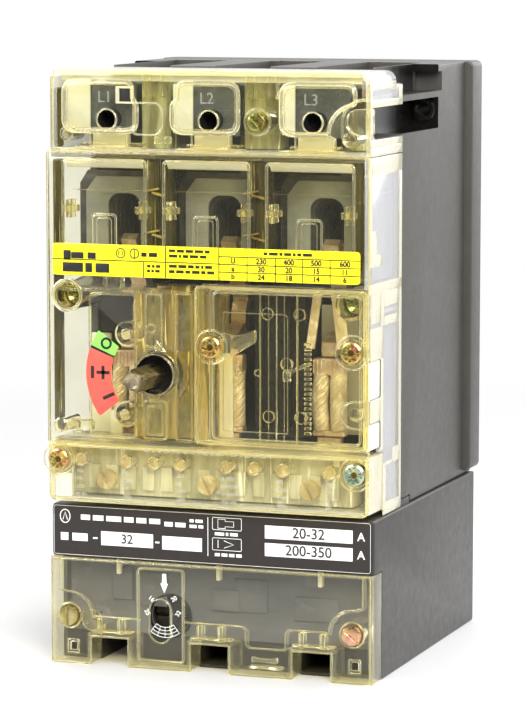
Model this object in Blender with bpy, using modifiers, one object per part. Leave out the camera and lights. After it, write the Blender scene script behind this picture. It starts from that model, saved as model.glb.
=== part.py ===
"""Three-pole moulded-case circuit breaker with clear covers, a rotary drive and a plug-in trip unit.

Every size below is in millimetres: x from the middle, y from the front plane of the main cover towards
the rear, z from the bottom of the trip unit. The model itself is in metres, +Z up, with its origin under
the middle of the whole breaker.
"""

import math

import bmesh
import bpy
from mathutils import Matrix, Vector

MM = 0.001
GAP = 0.3

# Overall sizes
POLE_PITCH = 44.0
POLES = {"left": -POLE_PITCH, "centre": 0.0, "right": POLE_PITCH}
COVER_HALF = 69.0
COVER_DEPTH = 43.5
COVER_WALL = 2.4
BASE_HALF = 68.4
BASE_FRONT = COVER_DEPTH + GAP
FLANGE_HALF = 72.1
FLANGE_FRONT = 134.0
REAR = 148.1
TRIP_HALF = 69.85
TRIP_TOP = 66.4
BAND_BOTTOM = 68.5
BAND_TOP = 92.6
BAND_DEPTH = 20.0
COVER_TOP = 212.0
BASE_TOP = 246.0
FLANGE_TOP = 246.2
LINE_BOTTOM = 210.3
TRIP_SPLIT = 49.6
CHANNEL_INNER = 57.2
CHANNEL_END = 95.0
MOUNT_HOLE_X = 61.8
MOUNT_HOLE_Z = 227.0

# Rotary drive
SHAFT_X = -22.5
SHAFT_Z = 122.4
SHAFT_TIP = -24.0
SHAFT_SQUARE = 7.2
SHAFT_HOLE_R = 8.0
SHAFT_TRAVEL = 57.0
CRANK_R = 9.0

# Contacts
CROSSBAR_Y = 50.0
CROSSBAR_Z = 142.0
CROSSBAR_R = 8.0
CROSSBAR_TRAVEL = 41.5
FORK = (-12.0, -21.0)
TIP_Y = 30.4
TIP_Z = 174.0
BRAID_Y = 27.0
FIXED_CONTACT_Y = 60.5

# Trip unit
TRIP_BAR_Y = 33.0
TRIP_BAR_Z = 50.0
ARMATURE_Y = 51.2
ARMATURE_Z = 48.0
DIAL_X = -21.5
DIAL_Z = 20.3

Y_MIDDLE = (SHAFT_TIP + REAR) / 2


def clear_scene():
    for obj in list(bpy.data.objects):
        bpy.data.objects.remove(obj, do_unlink=True)


def new_collection(name):
    collection = bpy.data.collections.new(name)
    bpy.context.scene.collection.children.link(collection)
    return collection


clear_scene()
PARTS = new_collection("circuit_breaker")
CUTTERS = new_collection("cutters")


def finish(name, colour, roughness, metallic=0.0, clear=0.0):
    """Material with one even surface."""
    material = bpy.data.materials.new(name)
    material.use_nodes = True
    shader = material.node_tree.nodes["Principled BSDF"]
    shader.inputs["Base Color"].default_value = (*colour, 1.0)
    shader.inputs["Roughness"].default_value = roughness
    shader.inputs["Metallic"].default_value = metallic
    shader.inputs["Transmission Weight"].default_value = clear
    return material


CLEAR = finish("clear_plastic", (0.93, 0.90, 0.68), 0.08, clear=0.9)
HOUSING = finish("dark_moulding", (0.14, 0.135, 0.13), 0.6)
BLACK = finish("black_plastic", (0.02, 0.02, 0.02), 0.5)
NAMEPLATE = finish("nameplate_print", (0.05, 0.038, 0.034), 0.45)
YELLOW = finish("yellow_label", (0.95, 0.88, 0.02), 0.5)
RED = finish("red_label", (0.95, 0.09, 0.06), 0.5)
BRASS = finish("passivated_brass", (0.72, 0.56, 0.20), 0.3, 1.0)
COPPER = finish("copper", (0.75, 0.38, 0.22), 0.35, 1.0)
STEEL = finish("olive_steel", (0.42, 0.38, 0.27), 0.4, 1.0)
ZINC = finish("yellow_zinc", (0.62, 0.52, 0.22), 0.35, 1.0)
FIBRE = finish("grey_fibre", (0.33, 0.34, 0.31), 0.7)
CREAM = finish("cream_moulding", (0.62, 0.58, 0.42), 0.5)


def spot(x, y, z):
    """Point in the model's metres."""
    return Vector((x * MM, (y - Y_MIDDLE) * MM, z * MM))


def make(name, bm, place):
    """Object from a bmesh built round its own origin."""
    bmesh.ops.recalc_face_normals(bm, faces=bm.faces)
    mesh = bpy.data.meshes.new(name)
    bm.to_mesh(mesh)
    bm.free()
    obj = bpy.data.objects.new(name, mesh)
    obj.location = place
    return obj


def block(name, x, y, z):
    """Box between a low and a high limit on each axis."""
    bm = bmesh.new()
    bmesh.ops.create_cube(bm, size=1.0)
    bmesh.ops.scale(bm, vec=Vector((x[1] - x[0], y[1] - y[0], z[1] - z[0])) * MM, verts=bm.verts)
    return make(name, bm, spot(sum(x) / 2, sum(y) / 2, sum(z) / 2))


def rod(name, axis, centre, radius, span, sides=24, end_radius=None):
    """Cylinder or cone along an axis. centre holds the other two coordinates, span the two ends."""
    bm = bmesh.new()
    bmesh.ops.create_cone(
        bm,
        cap_ends=True,
        segments=sides,
        radius1=radius * MM,
        radius2=(radius if end_radius is None else end_radius) * MM,
        depth=(span[1] - span[0]) * MM,
    )
    middle = sum(span) / 2
    if axis == "x":
        turn = Matrix.Rotation(math.pi / 2, 3, "Y")
        place = spot(middle, centre[0], centre[1])
    elif axis == "y":
        turn = Matrix.Rotation(-math.pi / 2, 3, "X")
        place = spot(centre[0], middle, centre[1])
    else:
        turn = Matrix.Identity(3)
        place = spot(centre[0], centre[1], middle)
    bmesh.ops.rotate(bm, matrix=turn, verts=bm.verts)
    obj = make(name, bm, place)
    obj.data.shade_smooth()
    obj.data.set_sharp_from_angle(angle=math.radians(40))
    return obj


def turned(name, x, z, profile, steps, closed=False):
    """Body of revolution about an axis along y, from (radius, y) points down its outer side from the front."""
    bm = bmesh.new()
    verts = [bm.verts.new((radius * MM, 0.0, -y * MM)) for radius, y in profile]
    for first, second in zip(verts, verts[1:]):
        bm.edges.new((first, second))
    if closed:
        bm.edges.new((verts[-1], verts[0]))
    mesh = bpy.data.meshes.new(name)
    bm.to_mesh(mesh)
    bm.free()
    obj = bpy.data.objects.new(name, mesh)
    obj.location = spot(x, 0.0, z)
    obj.rotation_euler = (math.pi / 2, 0, 0)
    spin = obj.modifiers.new("turn", "SCREW")
    spin.steps = steps
    spin.render_steps = steps
    spin.use_merge_vertices = True
    spin.merge_threshold = 1e-5
    spin.use_smooth_shade = True
    return obj


def round_edges(body, width, segments=2):
    """Bevel on the sharp edges of a plain body, before anything is cut from it."""
    bevel = body.modifiers.new("edges", "BEVEL")
    bevel.width = width * MM
    bevel.segments = segments
    bevel.limit_method = "ANGLE"
    return body


def plate(name, axis, outline, span):
    """Flat outline drawn as a closed 2D curve across an axis and extruded along it.

    The outline holds (x, z) pairs for axis y, and (y, z) pairs for axis x.
    """
    curve = bpy.data.curves.new(name, "CURVE")
    curve.dimensions = "2D"
    curve.fill_mode = "BOTH"
    curve.extrude = (span[1] - span[0]) / 2 * MM
    spline = curve.splines.new("POLY")
    spline.points.add(len(outline) - 1)
    for point, (u, v) in zip(spline.points, outline):
        point.co = (u * MM, v * MM, 0.0, 1.0)
    spline.use_cyclic_u = True
    drawn = bpy.data.objects.new(name + "_outline", curve)
    bpy.context.scene.collection.objects.link(drawn)
    graph = bpy.context.evaluated_depsgraph_get()
    mesh = bpy.data.meshes.new_from_object(drawn.evaluated_get(graph))
    bpy.data.objects.remove(drawn)
    bm = bmesh.new()
    bm.from_mesh(mesh)
    bpy.data.meshes.remove(mesh)
    bmesh.ops.remove_doubles(bm, verts=bm.verts, dist=1e-6)
    middle = sum(span) / 2
    if axis == "y":
        turn = Matrix.Rotation(math.pi / 2, 3, "X")
        place = spot(0.0, middle, 0.0)
    else:
        turn = Matrix(((0, 0, 1), (1, 0, 0), (0, 1, 0)))
        place = spot(middle, 0.0, 0.0)
    bmesh.ops.transform(bm, matrix=turn.to_4x4(), verts=bm.verts)
    return make(name, bm, place)


def cable(name, points, radius, x):
    """Round tube along (y, z) points at one x."""
    curve = bpy.data.curves.new(name, "CURVE")
    curve.dimensions = "3D"
    curve.bevel_depth = radius * MM
    curve.bevel_resolution = 1
    curve.use_fill_caps = True
    spline = curve.splines.new("POLY")
    spline.points.add(len(points) - 1)
    for point, (y, z) in zip(spline.points, points):
        point.co = (*spot(x, y, z), 1.0)
    drawn = bpy.data.objects.new(name + "_route", curve)
    bpy.context.scene.collection.objects.link(drawn)
    graph = bpy.context.evaluated_depsgraph_get()
    mesh = bpy.data.meshes.new_from_object(drawn.evaluated_get(graph))
    bpy.data.objects.remove(drawn)
    bm = bmesh.new()
    bm.from_mesh(mesh)
    bpy.data.meshes.remove(mesh)
    bmesh.ops.remove_doubles(bm, verts=bm.verts, dist=1e-6)
    return make(name, bm, Vector((0.0, 0.0, 0.0)))


def arc(centre, radius, start, end, steps):
    """Points on an arc, angles in degrees."""
    angles = [math.radians(start + (end - start) * i / steps) for i in range(steps + 1)]
    return [(centre[0] + radius * math.cos(a), centre[1] + radius * math.sin(a)) for a in angles]


def rounded(low, high, radius, steps=3):
    """Rectangle outline with round corners."""
    (u0, v0), (u1, v1) = low, high
    r = radius
    return (
        arc((u1 - r, v0 + r), r, -90, 0, steps)
        + arc((u1 - r, v1 - r), r, 0, 90, steps)
        + arc((u0 + r, v1 - r), r, 90, 180, steps)
        + arc((u0 + r, v0 + r), r, 180, 270, steps)
    )


def join(target, helpers, operation):
    """Boolean steps on target, with each helper kept as a hidden guide."""
    for helper in helpers:
        CUTTERS.objects.link(helper)
        helper.hide_render = True
        helper.display_type = "WIRE"
        step = target.modifiers.new(helper.name, "BOOLEAN")
        step.operation = operation
        step.solver = "EXACT"
        step.object = helper


def part(body, material, add=(), cut=()):
    """Sub-part: a body with helpers added and others taken away."""
    PARTS.objects.link(body)
    join(body, add, "UNION")
    join(body, cut, "DIFFERENCE")
    body.data.materials.append(material)
    return body


def pivot(name, x, y, z):
    """Empty on a joint's axis."""
    empty = bpy.data.objects.new(name, None)
    empty.empty_display_size = 10 * MM
    empty.location = spot(x, y, z)
    PARTS.objects.link(empty)
    return empty


def hang(obj, empty):
    """Puts a moving piece on its joint's empty without moving it."""
    obj.location -= empty.location
    obj.parent = empty


def either_side(x):
    return sorted((x[0], x[1])), sorted((-x[0], -x[1]))


# ---------------------------------------------------------------- housings


def base_housing():
    """Dark base with three pole chambers, open at the front."""
    depth = (BASE_FRONT, FLANGE_FRONT - GAP)
    body = block("base_housing", (-BASE_HALF, BASE_HALF), depth, (66.7, LINE_BOTTOM - GAP))
    chambers = ((-64.9, -23.6), (-20.4, 20.4), (23.6, 64.9))
    cut = [block(f"chamber_{i}", x, (40, 128), (70.7, 206.9)) for i, x in enumerate(chambers)]
    for pole, x in POLES.items():
        cut.append(block(f"line_slot_{pole}", (x - 8, x + 8), (57.5, 68), (205, 214)))
        cut.append(block(f"floor_slot_{pole}", (x - 6, x + 6), (60, 80), (66, 71.5)))
    seat = CROSSBAR_R + 0.45
    cut.append(rod("crossbar_bearing", "x", (CROSSBAR_Y, CROSSBAR_Z), seat, (-25, 25), 24))
    cut.append(block("crossbar_seat", (-25, 25), (40, CROSSBAR_Y), (CROSSBAR_Z - seat, CROSSBAR_Z + seat)))
    cut.append(block("drive_bay", (-26, -8), (40, 54), (90, 162)))
    for i, side in enumerate(either_side((BASE_HALF - 4.0, 80))):
        cut.append(block(f"latch_notch_{i}", side, (40, 58), (60, 69.8)))
    columns = [
        block(f"screw_column_{i}", side, (BASE_FRONT, 62), (149.2, 157.6))
        for i, side in enumerate(either_side((54.5, 66)))
    ]
    holes = [
        rod(f"column_hole_{i}", "y", (x, 153.5), 2.3, (40, 60), 12) for i, x in enumerate((-60.5, 60.5))
    ]
    part(round_edges(body, 0.6), HOUSING, cut=cut)
    join(body, columns, "UNION")
    join(body, holes, "DIFFERENCE")


def line_block():
    """Top of the base: walls between the line pockets, and a deep channel in each side to a mounting hole."""
    depth = (BASE_FRONT, FLANGE_FRONT - GAP)
    body = block("line_block", (-BASE_HALF, BASE_HALF), depth, (LINE_BOTTOM, BASE_TOP))
    cut = []
    for pole, x in POLES.items():
        cut.append(block(f"line_pocket_{pole}", (x - 12, x + 12), (40, 112), (200, 250)))
    for i, side in enumerate(either_side((CHANNEL_INNER, 80))):
        cut.append(block(f"side_channel_{i}", side, (40, CHANNEL_END), (219.5, 232.5)))
        cut.append(block(f"side_step_{i}", side, (40, CHANNEL_END), (235, 250)))
    for i, x in enumerate((-MOUNT_HOLE_X, MOUNT_HOLE_X)):
        cut.append(rod(f"mount_hole_{i}", "y", (x, MOUNT_HOLE_Z), 2.75, (90, 140), 20))
    part(round_edges(body, 0.6), HOUSING, cut=cut)


def rear_plate():
    """Rear flange, wider than the base, with the two mounting holes."""
    outline = rounded((-FLANGE_HALF, 68.6), (FLANGE_HALF, FLANGE_TOP), 2)
    body = plate("rear_plate", "y", outline, (FLANGE_FRONT, REAR))
    cut = [
        rod(f"plate_hole_{i}", "y", (x, MOUNT_HOLE_Z), 2.75, (130, 150), 20)
        for i, x in enumerate((-MOUNT_HOLE_X, MOUNT_HOLE_X))
    ]
    part(round_edges(body, 0.5), HOUSING, cut=cut)


TRIP_CHAMBERS = ((-66.5, -24.5), (-19.5, 19.5), (24.5, 66.5))


def latch_tongues(name, depth):
    return [
        block(f"{name}_{i}", side, depth, (TRIP_TOP - 2, 69.4))
        for i, side in enumerate(either_side((65.2, 68.4)))
    ]


def trip_housing():
    """Dark rear case of the trip unit, open towards its front block and on top under the base."""
    body = block("trip_housing", (-TRIP_HALF, TRIP_HALF), (TRIP_SPLIT + GAP, REAR), (0, TRIP_TOP))
    cut = [block(f"rear_chamber_{i}", x, (45, 132), (4, 70)) for i, x in enumerate(TRIP_CHAMBERS)]
    part(round_edges(body, 0.6), HOUSING, add=latch_tongues("rear_tongue", (TRIP_SPLIT + GAP, 57)), cut=cut)


def trip_front():
    """Dark front block of the trip unit, with pockets below for the load cables."""
    body = block("trip_front", (-TRIP_HALF, TRIP_HALF), (5.6, TRIP_SPLIT), (0, TRIP_TOP))
    cut = [block("cover_recess", (-80, 80), (0, 16.2), (-5, 44.8))]
    for i, x in enumerate(TRIP_CHAMBERS):
        cut.append(block(f"front_chamber_{i}", x, (20, 60), (20, 62.4)))
    for pole, x in POLES.items():
        cut.append(block(f"load_pocket_{pole}", (x - 8.5, x + 8.5), (10, 60), (-5, 16)))
        cut.append(block(f"top_slot_{pole}", (x - 6, x + 6), (24.5, 29.5), (60, 70)))
    cut.append(rod("trip_bar_bearing", "x", (TRIP_BAR_Y, TRIP_BAR_Z), 2.9, (-30, 30), 16))
    cut.append(rod("dial_pocket", "y", (DIAL_X, DIAL_Z), 8.2, (10, 31), 24))
    for i, x in enumerate((-61.5, 61.5)):
        cut.append(rod(f"trip_screw_hole_{i}", "y", (x, 20.3), 2.2, (10, 19), 12))
    part(body, HOUSING, add=latch_tongues("front_tongue", (44.5, TRIP_SPLIT)), cut=cut)


# ---------------------------------------------------------------- clear covers


def front_cover():
    """Main clear cover, a box open at the back, stepped in behind the terminal band."""
    body = block("front_cover", (-COVER_HALF, COVER_HALF), (0, COVER_DEPTH), (BAND_TOP + GAP, COVER_TOP))
    step_front = BAND_DEPTH + GAP
    lower = block(
        "cover_lower_box", (-COVER_HALF, COVER_HALF), (step_front, COVER_DEPTH), (BAND_BOTTOM, BAND_TOP + 2)
    )
    inside = COVER_HALF - COVER_WALL
    hollow = [
        block("cover_hollow", (-inside, inside), (COVER_WALL, 50), (95.1, COVER_TOP - COVER_WALL)),
        block("cover_lower_hollow", (-inside, inside), (step_front + COVER_WALL, 50), (70.9, 97)),
    ]
    bosses = [
        rod(f"screw_boss_{i}", "y", (x, 153.5), 6.5, (start, COVER_DEPTH), 20)
        for i, (x, start) in enumerate(((-60.5, 1.0), (60.5, 3.2)))
    ]
    cut = [
        rod("shaft_hole", "y", (SHAFT_X, SHAFT_Z), SHAFT_HOLE_R, (-5, 6), 32),
        block("accessory_opening", (-1.3, 80), (-5, 2.7), (95.1, 159.8)),
        block("upper_tab_notch", (66, 80), (-5, 15.6), (115.3, 131)),
        block("lower_tab_notch", (66, 80), (-5, 15.6), (95.1, 106)),
    ]
    for pole, x in POLES.items():
        cut.append(block(f"window_{pole}", (x - 17, x + 17), (-5, 0.8), (163, 207)))
        cut.append(block(f"conductor_slot_{pole}", (x - 6, x + 6), (24.5, 29.5), (60, 72)))
    for i, x in enumerate((-60.5, 60.5)):
        cut.append(rod(f"boss_head_{i}", "y", (x, 153.5), 5.0, (-5, 12.8), 20))
        cut.append(rod(f"boss_bore_{i}", "y", (x, 153.5), 2.3, (10, 50), 12))
    part(round_edges(body, 1.2), CLEAR, add=[lower])
    join(body, hollow, "DIFFERENCE")
    join(body, bosses, "UNION")
    join(body, cut, "DIFFERENCE")


def terminal_cover():
    """Clear cover of the line terminals, with a hole in front of each clamp screw."""
    bottom = COVER_TOP + GAP
    side = [(0, bottom), (COVER_DEPTH, bottom), (COVER_DEPTH, 240), (35, 240)]
    side += arc((31, 241.5), 4, 0, 90, 3)
    side += arc((3, 242.5), 3, 90, 180, 3)
    body = plate("terminal_cover", "x", side, (-67.5, COVER_HALF))
    cut = [
        block("terminal_hollow", (-65.1, 66.6), (COVER_WALL, 50), (bottom + COVER_WALL, 237.6)),
        block("terminal_top_hollow", (-65.1, 66.6), (COVER_WALL, 32.5), (236, 243.2)),
        block("bullet_slot", (60, 80), (6, 50), (221, 231)),
        block("square_window", (-37.2, -31.8), (-5, 5), (232.8, 238.2)),
        rod("screw_passage", "y", (22, 225.5), 2.4, (-5, 5), 12),
    ]
    for pole, x in POLES.items():
        cut.append(rod(f"driver_hole_{pole}", "y", (x + 1.2, 225.5), 3.3, (-5, 5), 20))
    part(round_edges(body, 1.0), CLEAR, cut=cut)


def auxiliary_cover():
    """Clear band over the auxiliary terminals."""
    body = block("auxiliary_cover", (-COVER_HALF, COVER_HALF), (0, BAND_DEPTH), (BAND_BOTTOM, BAND_TOP))
    inside = COVER_HALF - 2.2
    hollow = block("band_hollow", (-inside, inside), (2.2, 25), (BAND_BOTTOM + 2.2, BAND_TOP - 2.2))
    holes = [
        rod(f"band_screw_hole_{i}", "y", (x, 86), 2.2, (-5, 5), 12) for i, x in enumerate((-64.3, 63.5))
    ]
    part(round_edges(body, 1.0), CLEAR, cut=[hollow, *holes])


def accessory_cover():
    """Clear raised cover at the lower right, hooked round the side by two tabs."""
    body = block("accessory_cover", (-1, 68.9), (-1.5, 2.4), (95.4, 159.5))
    lobe = rod("accessory_lobe", "y", (2, 135), 6.5, (-1.5, -GAP), 24)
    hollow = block("accessory_hollow", (1.4, 66.5), (0.6, 5), (97.8, 157.1))
    tabs = [
        block(f"side_tab_{i}", (66.9, 68.9), (0, 15.3), z) for i, z in enumerate(((95.4, 105.7), (115.6, 130.7)))
    ]
    holes = [rod(f"sealed_hole_{i}", "y", (x, 135), 2.2, (-5, 5), 12) for i, x in enumerate((2.9, 62.5))]
    part(round_edges(body, 0.8), CLEAR, cut=[hollow])
    join(body, [lobe, *tabs], "UNION")
    join(body, holes, "DIFFERENCE")


def trip_cover():
    """Clear front of the trip unit, with three cable gaps and a slot over the adjusting dial."""
    body = block("trip_cover", (-TRIP_HALF, TRIP_HALF), (3.1, 15.9), (0, 44.5))
    inside = TRIP_HALF - 2.2
    hollow = block("trip_hollow", (-inside, inside), (5.2, 20), (2.2, 42.4))
    cut = []
    for pole, x in POLES.items():
        cut.append(block(f"cable_gap_{pole}", (x - 8.5, x + 8.5), (-5, 20), (-5, 11.6)))
    slot = arc((DIAL_X, 24.8), 4.6, 0, 180, 8) + arc((DIAL_X, 15.8), 4.6, 180, 360, 8)
    cut.append(plate("dial_slot", "y", slot, (-5, 8)))
    cut.append(block("front_notch", (18, 30), (-5, 8), (6.5, 12)))
    for i, x in enumerate((-61.5, 61.5)):
        cut.append(rod(f"trip_cover_hole_{i}", "y", (x, 20.3), 2.2, (-5, 8), 12))
    part(round_edges(body, 1.0), CLEAR, cut=[hollow, *cut])


# ---------------------------------------------------------------- labels


def labels():
    """Rating label, printed trip-unit plate and the arc-shaped position label round the shaft."""
    part(plate("rating_label", "y", rounded((-66.5, 162), (65.5, 175), 1.5, 2), (-0.7, -GAP)), YELLOW)
    part(block("trip_nameplate", (-69.5, 69), (4.7, 5.3), (45, 66.2)), NAMEPLATE)
    centre = (SHAFT_X, SHAFT_Z)
    sector = arc(centre, 29.5, 144, 217, 12) + arc(centre, 18.5, 217, 144, 12)
    part(plate("position_label", "y", sector, (-0.7, -GAP)), RED)


# ---------------------------------------------------------------- current path


def arc_chute(pole, x):
    """Stack of arc plates as one inverted U that the contact tip swings through."""
    outline = [(x - 17, 160.5), (x - 17, 195), (x - 13, 201), (x + 13, 201), (x + 17, 195), (x + 17, 160.5)]
    outline += [(x + 7.2, 160.5), *arc((x, 185.8), 7.2, 0, 180, 8), (x - 7.2, 160.5)]
    part(plate(f"arc_chute_{pole}", "y", outline, (22, 57.5)), FIBRE)


def line_terminal(pole, x):
    """Upright copper bar: fixed contact below, cable plate above, with its clamp cage and screw."""
    part(block(f"line_terminal_{pole}", (x - 7, x + 7), (FIXED_CONTACT_Y, 64.5), (168, 240)), COPPER)
    cage = block(f"line_clamp_{pole}", (x - 10.5, x + 10.5), (45.5, 69), (218, 233))
    bore = block(f"clamp_bore_{pole}", (x - 8, x + 8), (48.5, 66), (210, 240))
    thread = rod(f"clamp_thread_{pole}", "y", (x, 225.5), 3.9, (40, 50), 16)
    part(cage, STEEL, cut=[bore, thread])
    screw = rod(f"line_screw_{pole}", "y", (x, 225.5), 3.5, (44.1, 50), 16)
    slot = block(f"line_screw_slot_{pole}", (x - 5, x + 5), (40, 45.4), (225.0, 226.0))
    part(screw, ZINC, cut=[slot])


def load_conductor(pole, x):
    """Copper strip from the flexible down into the trip unit, back, down and forward to the load tongue."""
    half = 1.5
    front, back = BRAID_Y, 62.0
    top, shelf, tongue = 96.5, 58.0, 13.5
    outline = [
        (front - half, top),
        (front - half, shelf - half),
        (back - half, shelf - half),
        (back - half, tongue + half),
        (26, tongue + half),
        (26, tongue - half),
        (back + half, tongue - half),
        (back + half, shelf + half),
        (front + half, shelf + half),
        (front + half, top),
    ]
    part(plate(f"load_conductor_{pole}", "x", outline, (x - 5, x + 5)), COPPER)


def flexible(pole, x):
    """Pair of copper braids between the lug on the contact arm and the load conductor."""
    top = block(f"flexible_{pole}", (x - 7, x + 7), (24, 30), (121.5, 129.2))
    foot = block(f"flexible_foot_{pole}", (x - 7, x + 7), (24, 30), (96.8, 101))
    route = [(BRAID_Y, 99), (BRAID_Y - 1.2, 105), (BRAID_Y - 1.8, 111), (BRAID_Y - 1.2, 117), (BRAID_Y, 124)]
    strands = [cable(f"strand_{pole}_{i}", route, 3.1, x + side) for i, side in enumerate((-3.6, 3.6))]
    part(top, COPPER, add=[foot, *strands])


def contact_arm(pole, x):
    """Moving contact: a lever round the crossbar, its tip in the chute and its tail over the flexible.

    The pad's face is cut so that it lies flat on the fixed contact when the breaker is closed.
    """
    ring = rod(f"contact_arm_{pole}", "x", (CROSSBAR_Y, CROSSBAR_Z), 12, (x - 3.2, x + 3.2), 20)
    axis = Vector((CROSSBAR_Y, CROSSBAR_Z))
    reach = Vector((TIP_Y, TIP_Z)) - axis
    length = reach.length
    reach.normalize()
    back = Vector((reach.y, -reach.x))
    closed = math.atan2(reach.y, reach.x) - math.radians(CROSSBAR_TRAVEL)
    face_y = FIXED_CONTACT_Y - 2 * GAP - CROSSBAR_Y

    def face(u):
        """Height of the pad's face over the lever's middle line, u from the axis."""
        return (face_y - u * math.cos(closed)) / math.sin(closed)

    low, high = length - 7, length + 1
    lever = [(9.5, -3.2), (length + 3, -3.2), (length + 3, 1), (high, 2.8), (9.5, 2.8)]
    pad = [(low, 1), (high, 1), (high, face(high)), (low, face(low))]
    tail = [(43, 143), (42, 133.5), (26, 129.6), (24.5, 132), (25, 135.5)]
    add = [
        plate(f"arm_lever_{pole}", "x", [tuple(axis + reach * u + back * v) for u, v in lever], (x - 3.3, x + 3.3)),
        plate(f"arm_pad_{pole}", "x", [tuple(axis + reach * u + back * v) for u, v in pad], (x - 4.2, x + 4.2)),
        plate(f"arm_tail_{pole}", "x", tail, (x - 3.1, x + 3.1)),
    ]
    bore = rod(f"arm_bore_{pole}", "x", (CROSSBAR_Y, CROSSBAR_Z), CROSSBAR_R + 0.4, (x - 10, x + 10), 24)
    return part(ring, COPPER, add=add, cut=[bore])


def crossbar():
    """Insulating bar that carries the three contact arms, with a slotted fork round the crank's pin.

    The fork stands upright half way through the bar's travel, at FORK from the bar's axis.
    """
    body = rod("crossbar", "x", (CROSSBAR_Y, CROSSBAR_Z), CROSSBAR_R, (-50, 50), 24)
    axis = Vector((CROSSBAR_Y, CROSSBAR_Z))
    rest = Matrix.Rotation(math.radians(CROSSBAR_TRAVEL / 2), 2)
    y, z = FORK

    def swung(points):
        return [tuple(axis + rest @ Vector(p)) for p in points]

    arm = [(-3, -7), (y + 1, z + 5), (y + 1, z - 5.8), (y - 1, z - 5.8), (y - 1, z + 6), (-7, -3)]
    face = [(y + 1, z - 5.8), (y + 1, z + 5.8), (y - 1, z + 5.8), (y - 1, z - 5.8)]
    slot = [(y + 4, z - 3.8), (y + 4, z + 3.8), (y - 4, z + 3.8), (y - 4, z - 3.8)]
    add = [
        plate("fork_arm", "x", swung(arm), (-19.6, -17.2)),
        plate("fork_face", "x", swung(face), (-19.5, -9.9)),
    ]
    return part(body, BLACK, add=add, cut=[plate("fork_slot", "x", swung(slot), (-16.75, -11.35))])


# ---------------------------------------------------------------- drive


def operating_shaft():
    """Square shaft with a turned tip in front and a crank with its pin behind."""
    half = SHAFT_SQUARE / 2
    corners = [Vector((half, half)), Vector((-half, half)), Vector((-half, -half)), Vector((half, -half))]
    turn = Matrix.Rotation(math.radians(-31), 2)
    outline = [tuple(turn @ c + Vector((SHAFT_X, SHAFT_Z))) for c in corners]
    body = plate("operating_shaft", "y", outline, (-22, 27.5))
    tip = rod("shaft_tip", "y", (SHAFT_X, SHAFT_Z), 3.4, (SHAFT_TIP, -21), 20)
    start = math.radians(-SHAFT_TRAVEL / 2)
    pin_at = (SHAFT_X + CRANK_R * math.cos(start), SHAFT_Z + CRANK_R * math.sin(start))
    hub = rod("crank_hub", "y", (SHAFT_X, SHAFT_Z), 6.2, (24.5, 28), 20)
    web = [
        tuple(Vector((SHAFT_X, SHAFT_Z)) + Matrix.Rotation(start, 2) @ Vector(p))
        for p in ((0, -4.5), (CRANK_R, -2.4), (CRANK_R + 1.6, 0), (CRANK_R, 2.4), (0, 4.5))
    ]
    add = [
        tip,
        hub,
        plate("crank_web", "y", web, (24.6, 27.8)),
        rod("crank_pin", "y", pin_at, 1.6, (26, 48.8), 12),
    ]
    return part(body, STEEL, add=add)


def shaft_hub():
    """Black bearing cup behind the hole of the cover."""
    front, floor, back = COVER_WALL + GAP, 6.6, 8.6
    profile = [(9.4, front), (9.8, front + 0.4), (9.8, back), (5.5, back), (5.5, floor), (8.4, floor), (8.4, front)]
    part(turned("shaft_hub", SHAFT_X, SHAFT_Z, profile, 32, closed=True), BLACK)


def mechanism_frame():
    """Bent steel channel round the drive, open at the back."""
    body = block("mechanism_frame", (-31.5, -8), (9, 42), (96, 157))
    cut = [
        block("frame_inside", (-30, -9.5), (10.5, 50), (90, 160)),
        rod("frame_hole", "y", (SHAFT_X, SHAFT_Z), 5.9, (5, 15), 20),
    ]
    part(body, ZINC, cut=cut)


def accessory_module():
    """Black release module beside the centre pole."""
    body = block("accessory_module", (14.5, 36.5), (15, 40), (97, 157))
    cut = [block("module_groove", (20.5, 23.5), (10, 18), (108, 147)), block("module_step", (10, 19), (10, 24), (90, 107))]
    part(body, BLACK, cut=cut)


def auxiliary_block():
    """Moulded strip that holds the auxiliary terminals behind the clear band."""
    body = block("auxiliary_block", (-57, 56), (7, 19.6), (71.5, 89.8))
    cut = [rod(f"auxiliary_seat_{i}", "y", (x, 78), 4.6, (0, 9.5), 20) for i, x in enumerate(POLES.values())]
    part(body, CREAM, cut=cut)


# ---------------------------------------------------------------- trip unit


def magnet_yoke(pole, x):
    """Steel U round the conductor."""
    body = block(f"magnet_yoke_{pole}", (x - 9, x + 9), (56, 70), (32, 46))
    part(body, STEEL, cut=[block(f"yoke_channel_{pole}", (x - 6, x + 6), (50, 66), (30, 50))])


def bimetal(pole, x):
    """Bimetal strip hanging from the conductor towards the trip bar's paddle."""
    part(block(f"bimetal_{pole}", (x - 4, x + 4), (40, 41.2), (30, 56.2)), ZINC)


def armature(pole, x):
    """Hinged plate that the magnet pulls in."""
    return part(block(f"armature_{pole}", (x - 9, x + 9), (50.4, 52), (31, 55)), STEEL)


def trip_bar():
    """Bar across the poles with one paddle at each bimetal."""
    body = rod("trip_bar", "x", (TRIP_BAR_Y, TRIP_BAR_Z), 2.5, (-58, 58), 16)
    paddles = [block(f"paddle_{pole}", (x - 4, x + 4), (31.9, 34.1), (30, 50)) for pole, x in POLES.items()]
    return part(body, BLACK, add=paddles)


def thermal_dial():
    """Slotted adjusting dial behind the slot of the clear cover."""
    body = rod("thermal_dial", "y", (DIAL_X, DIAL_Z), 7.6, (18, 30), 24)
    return part(body, BLACK, cut=[block("dial_driver_slot", (-31, -10), (15, 20), (DIAL_Z - 0.8, DIAL_Z + 0.8))])


# ---------------------------------------------------------------- screws


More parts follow.
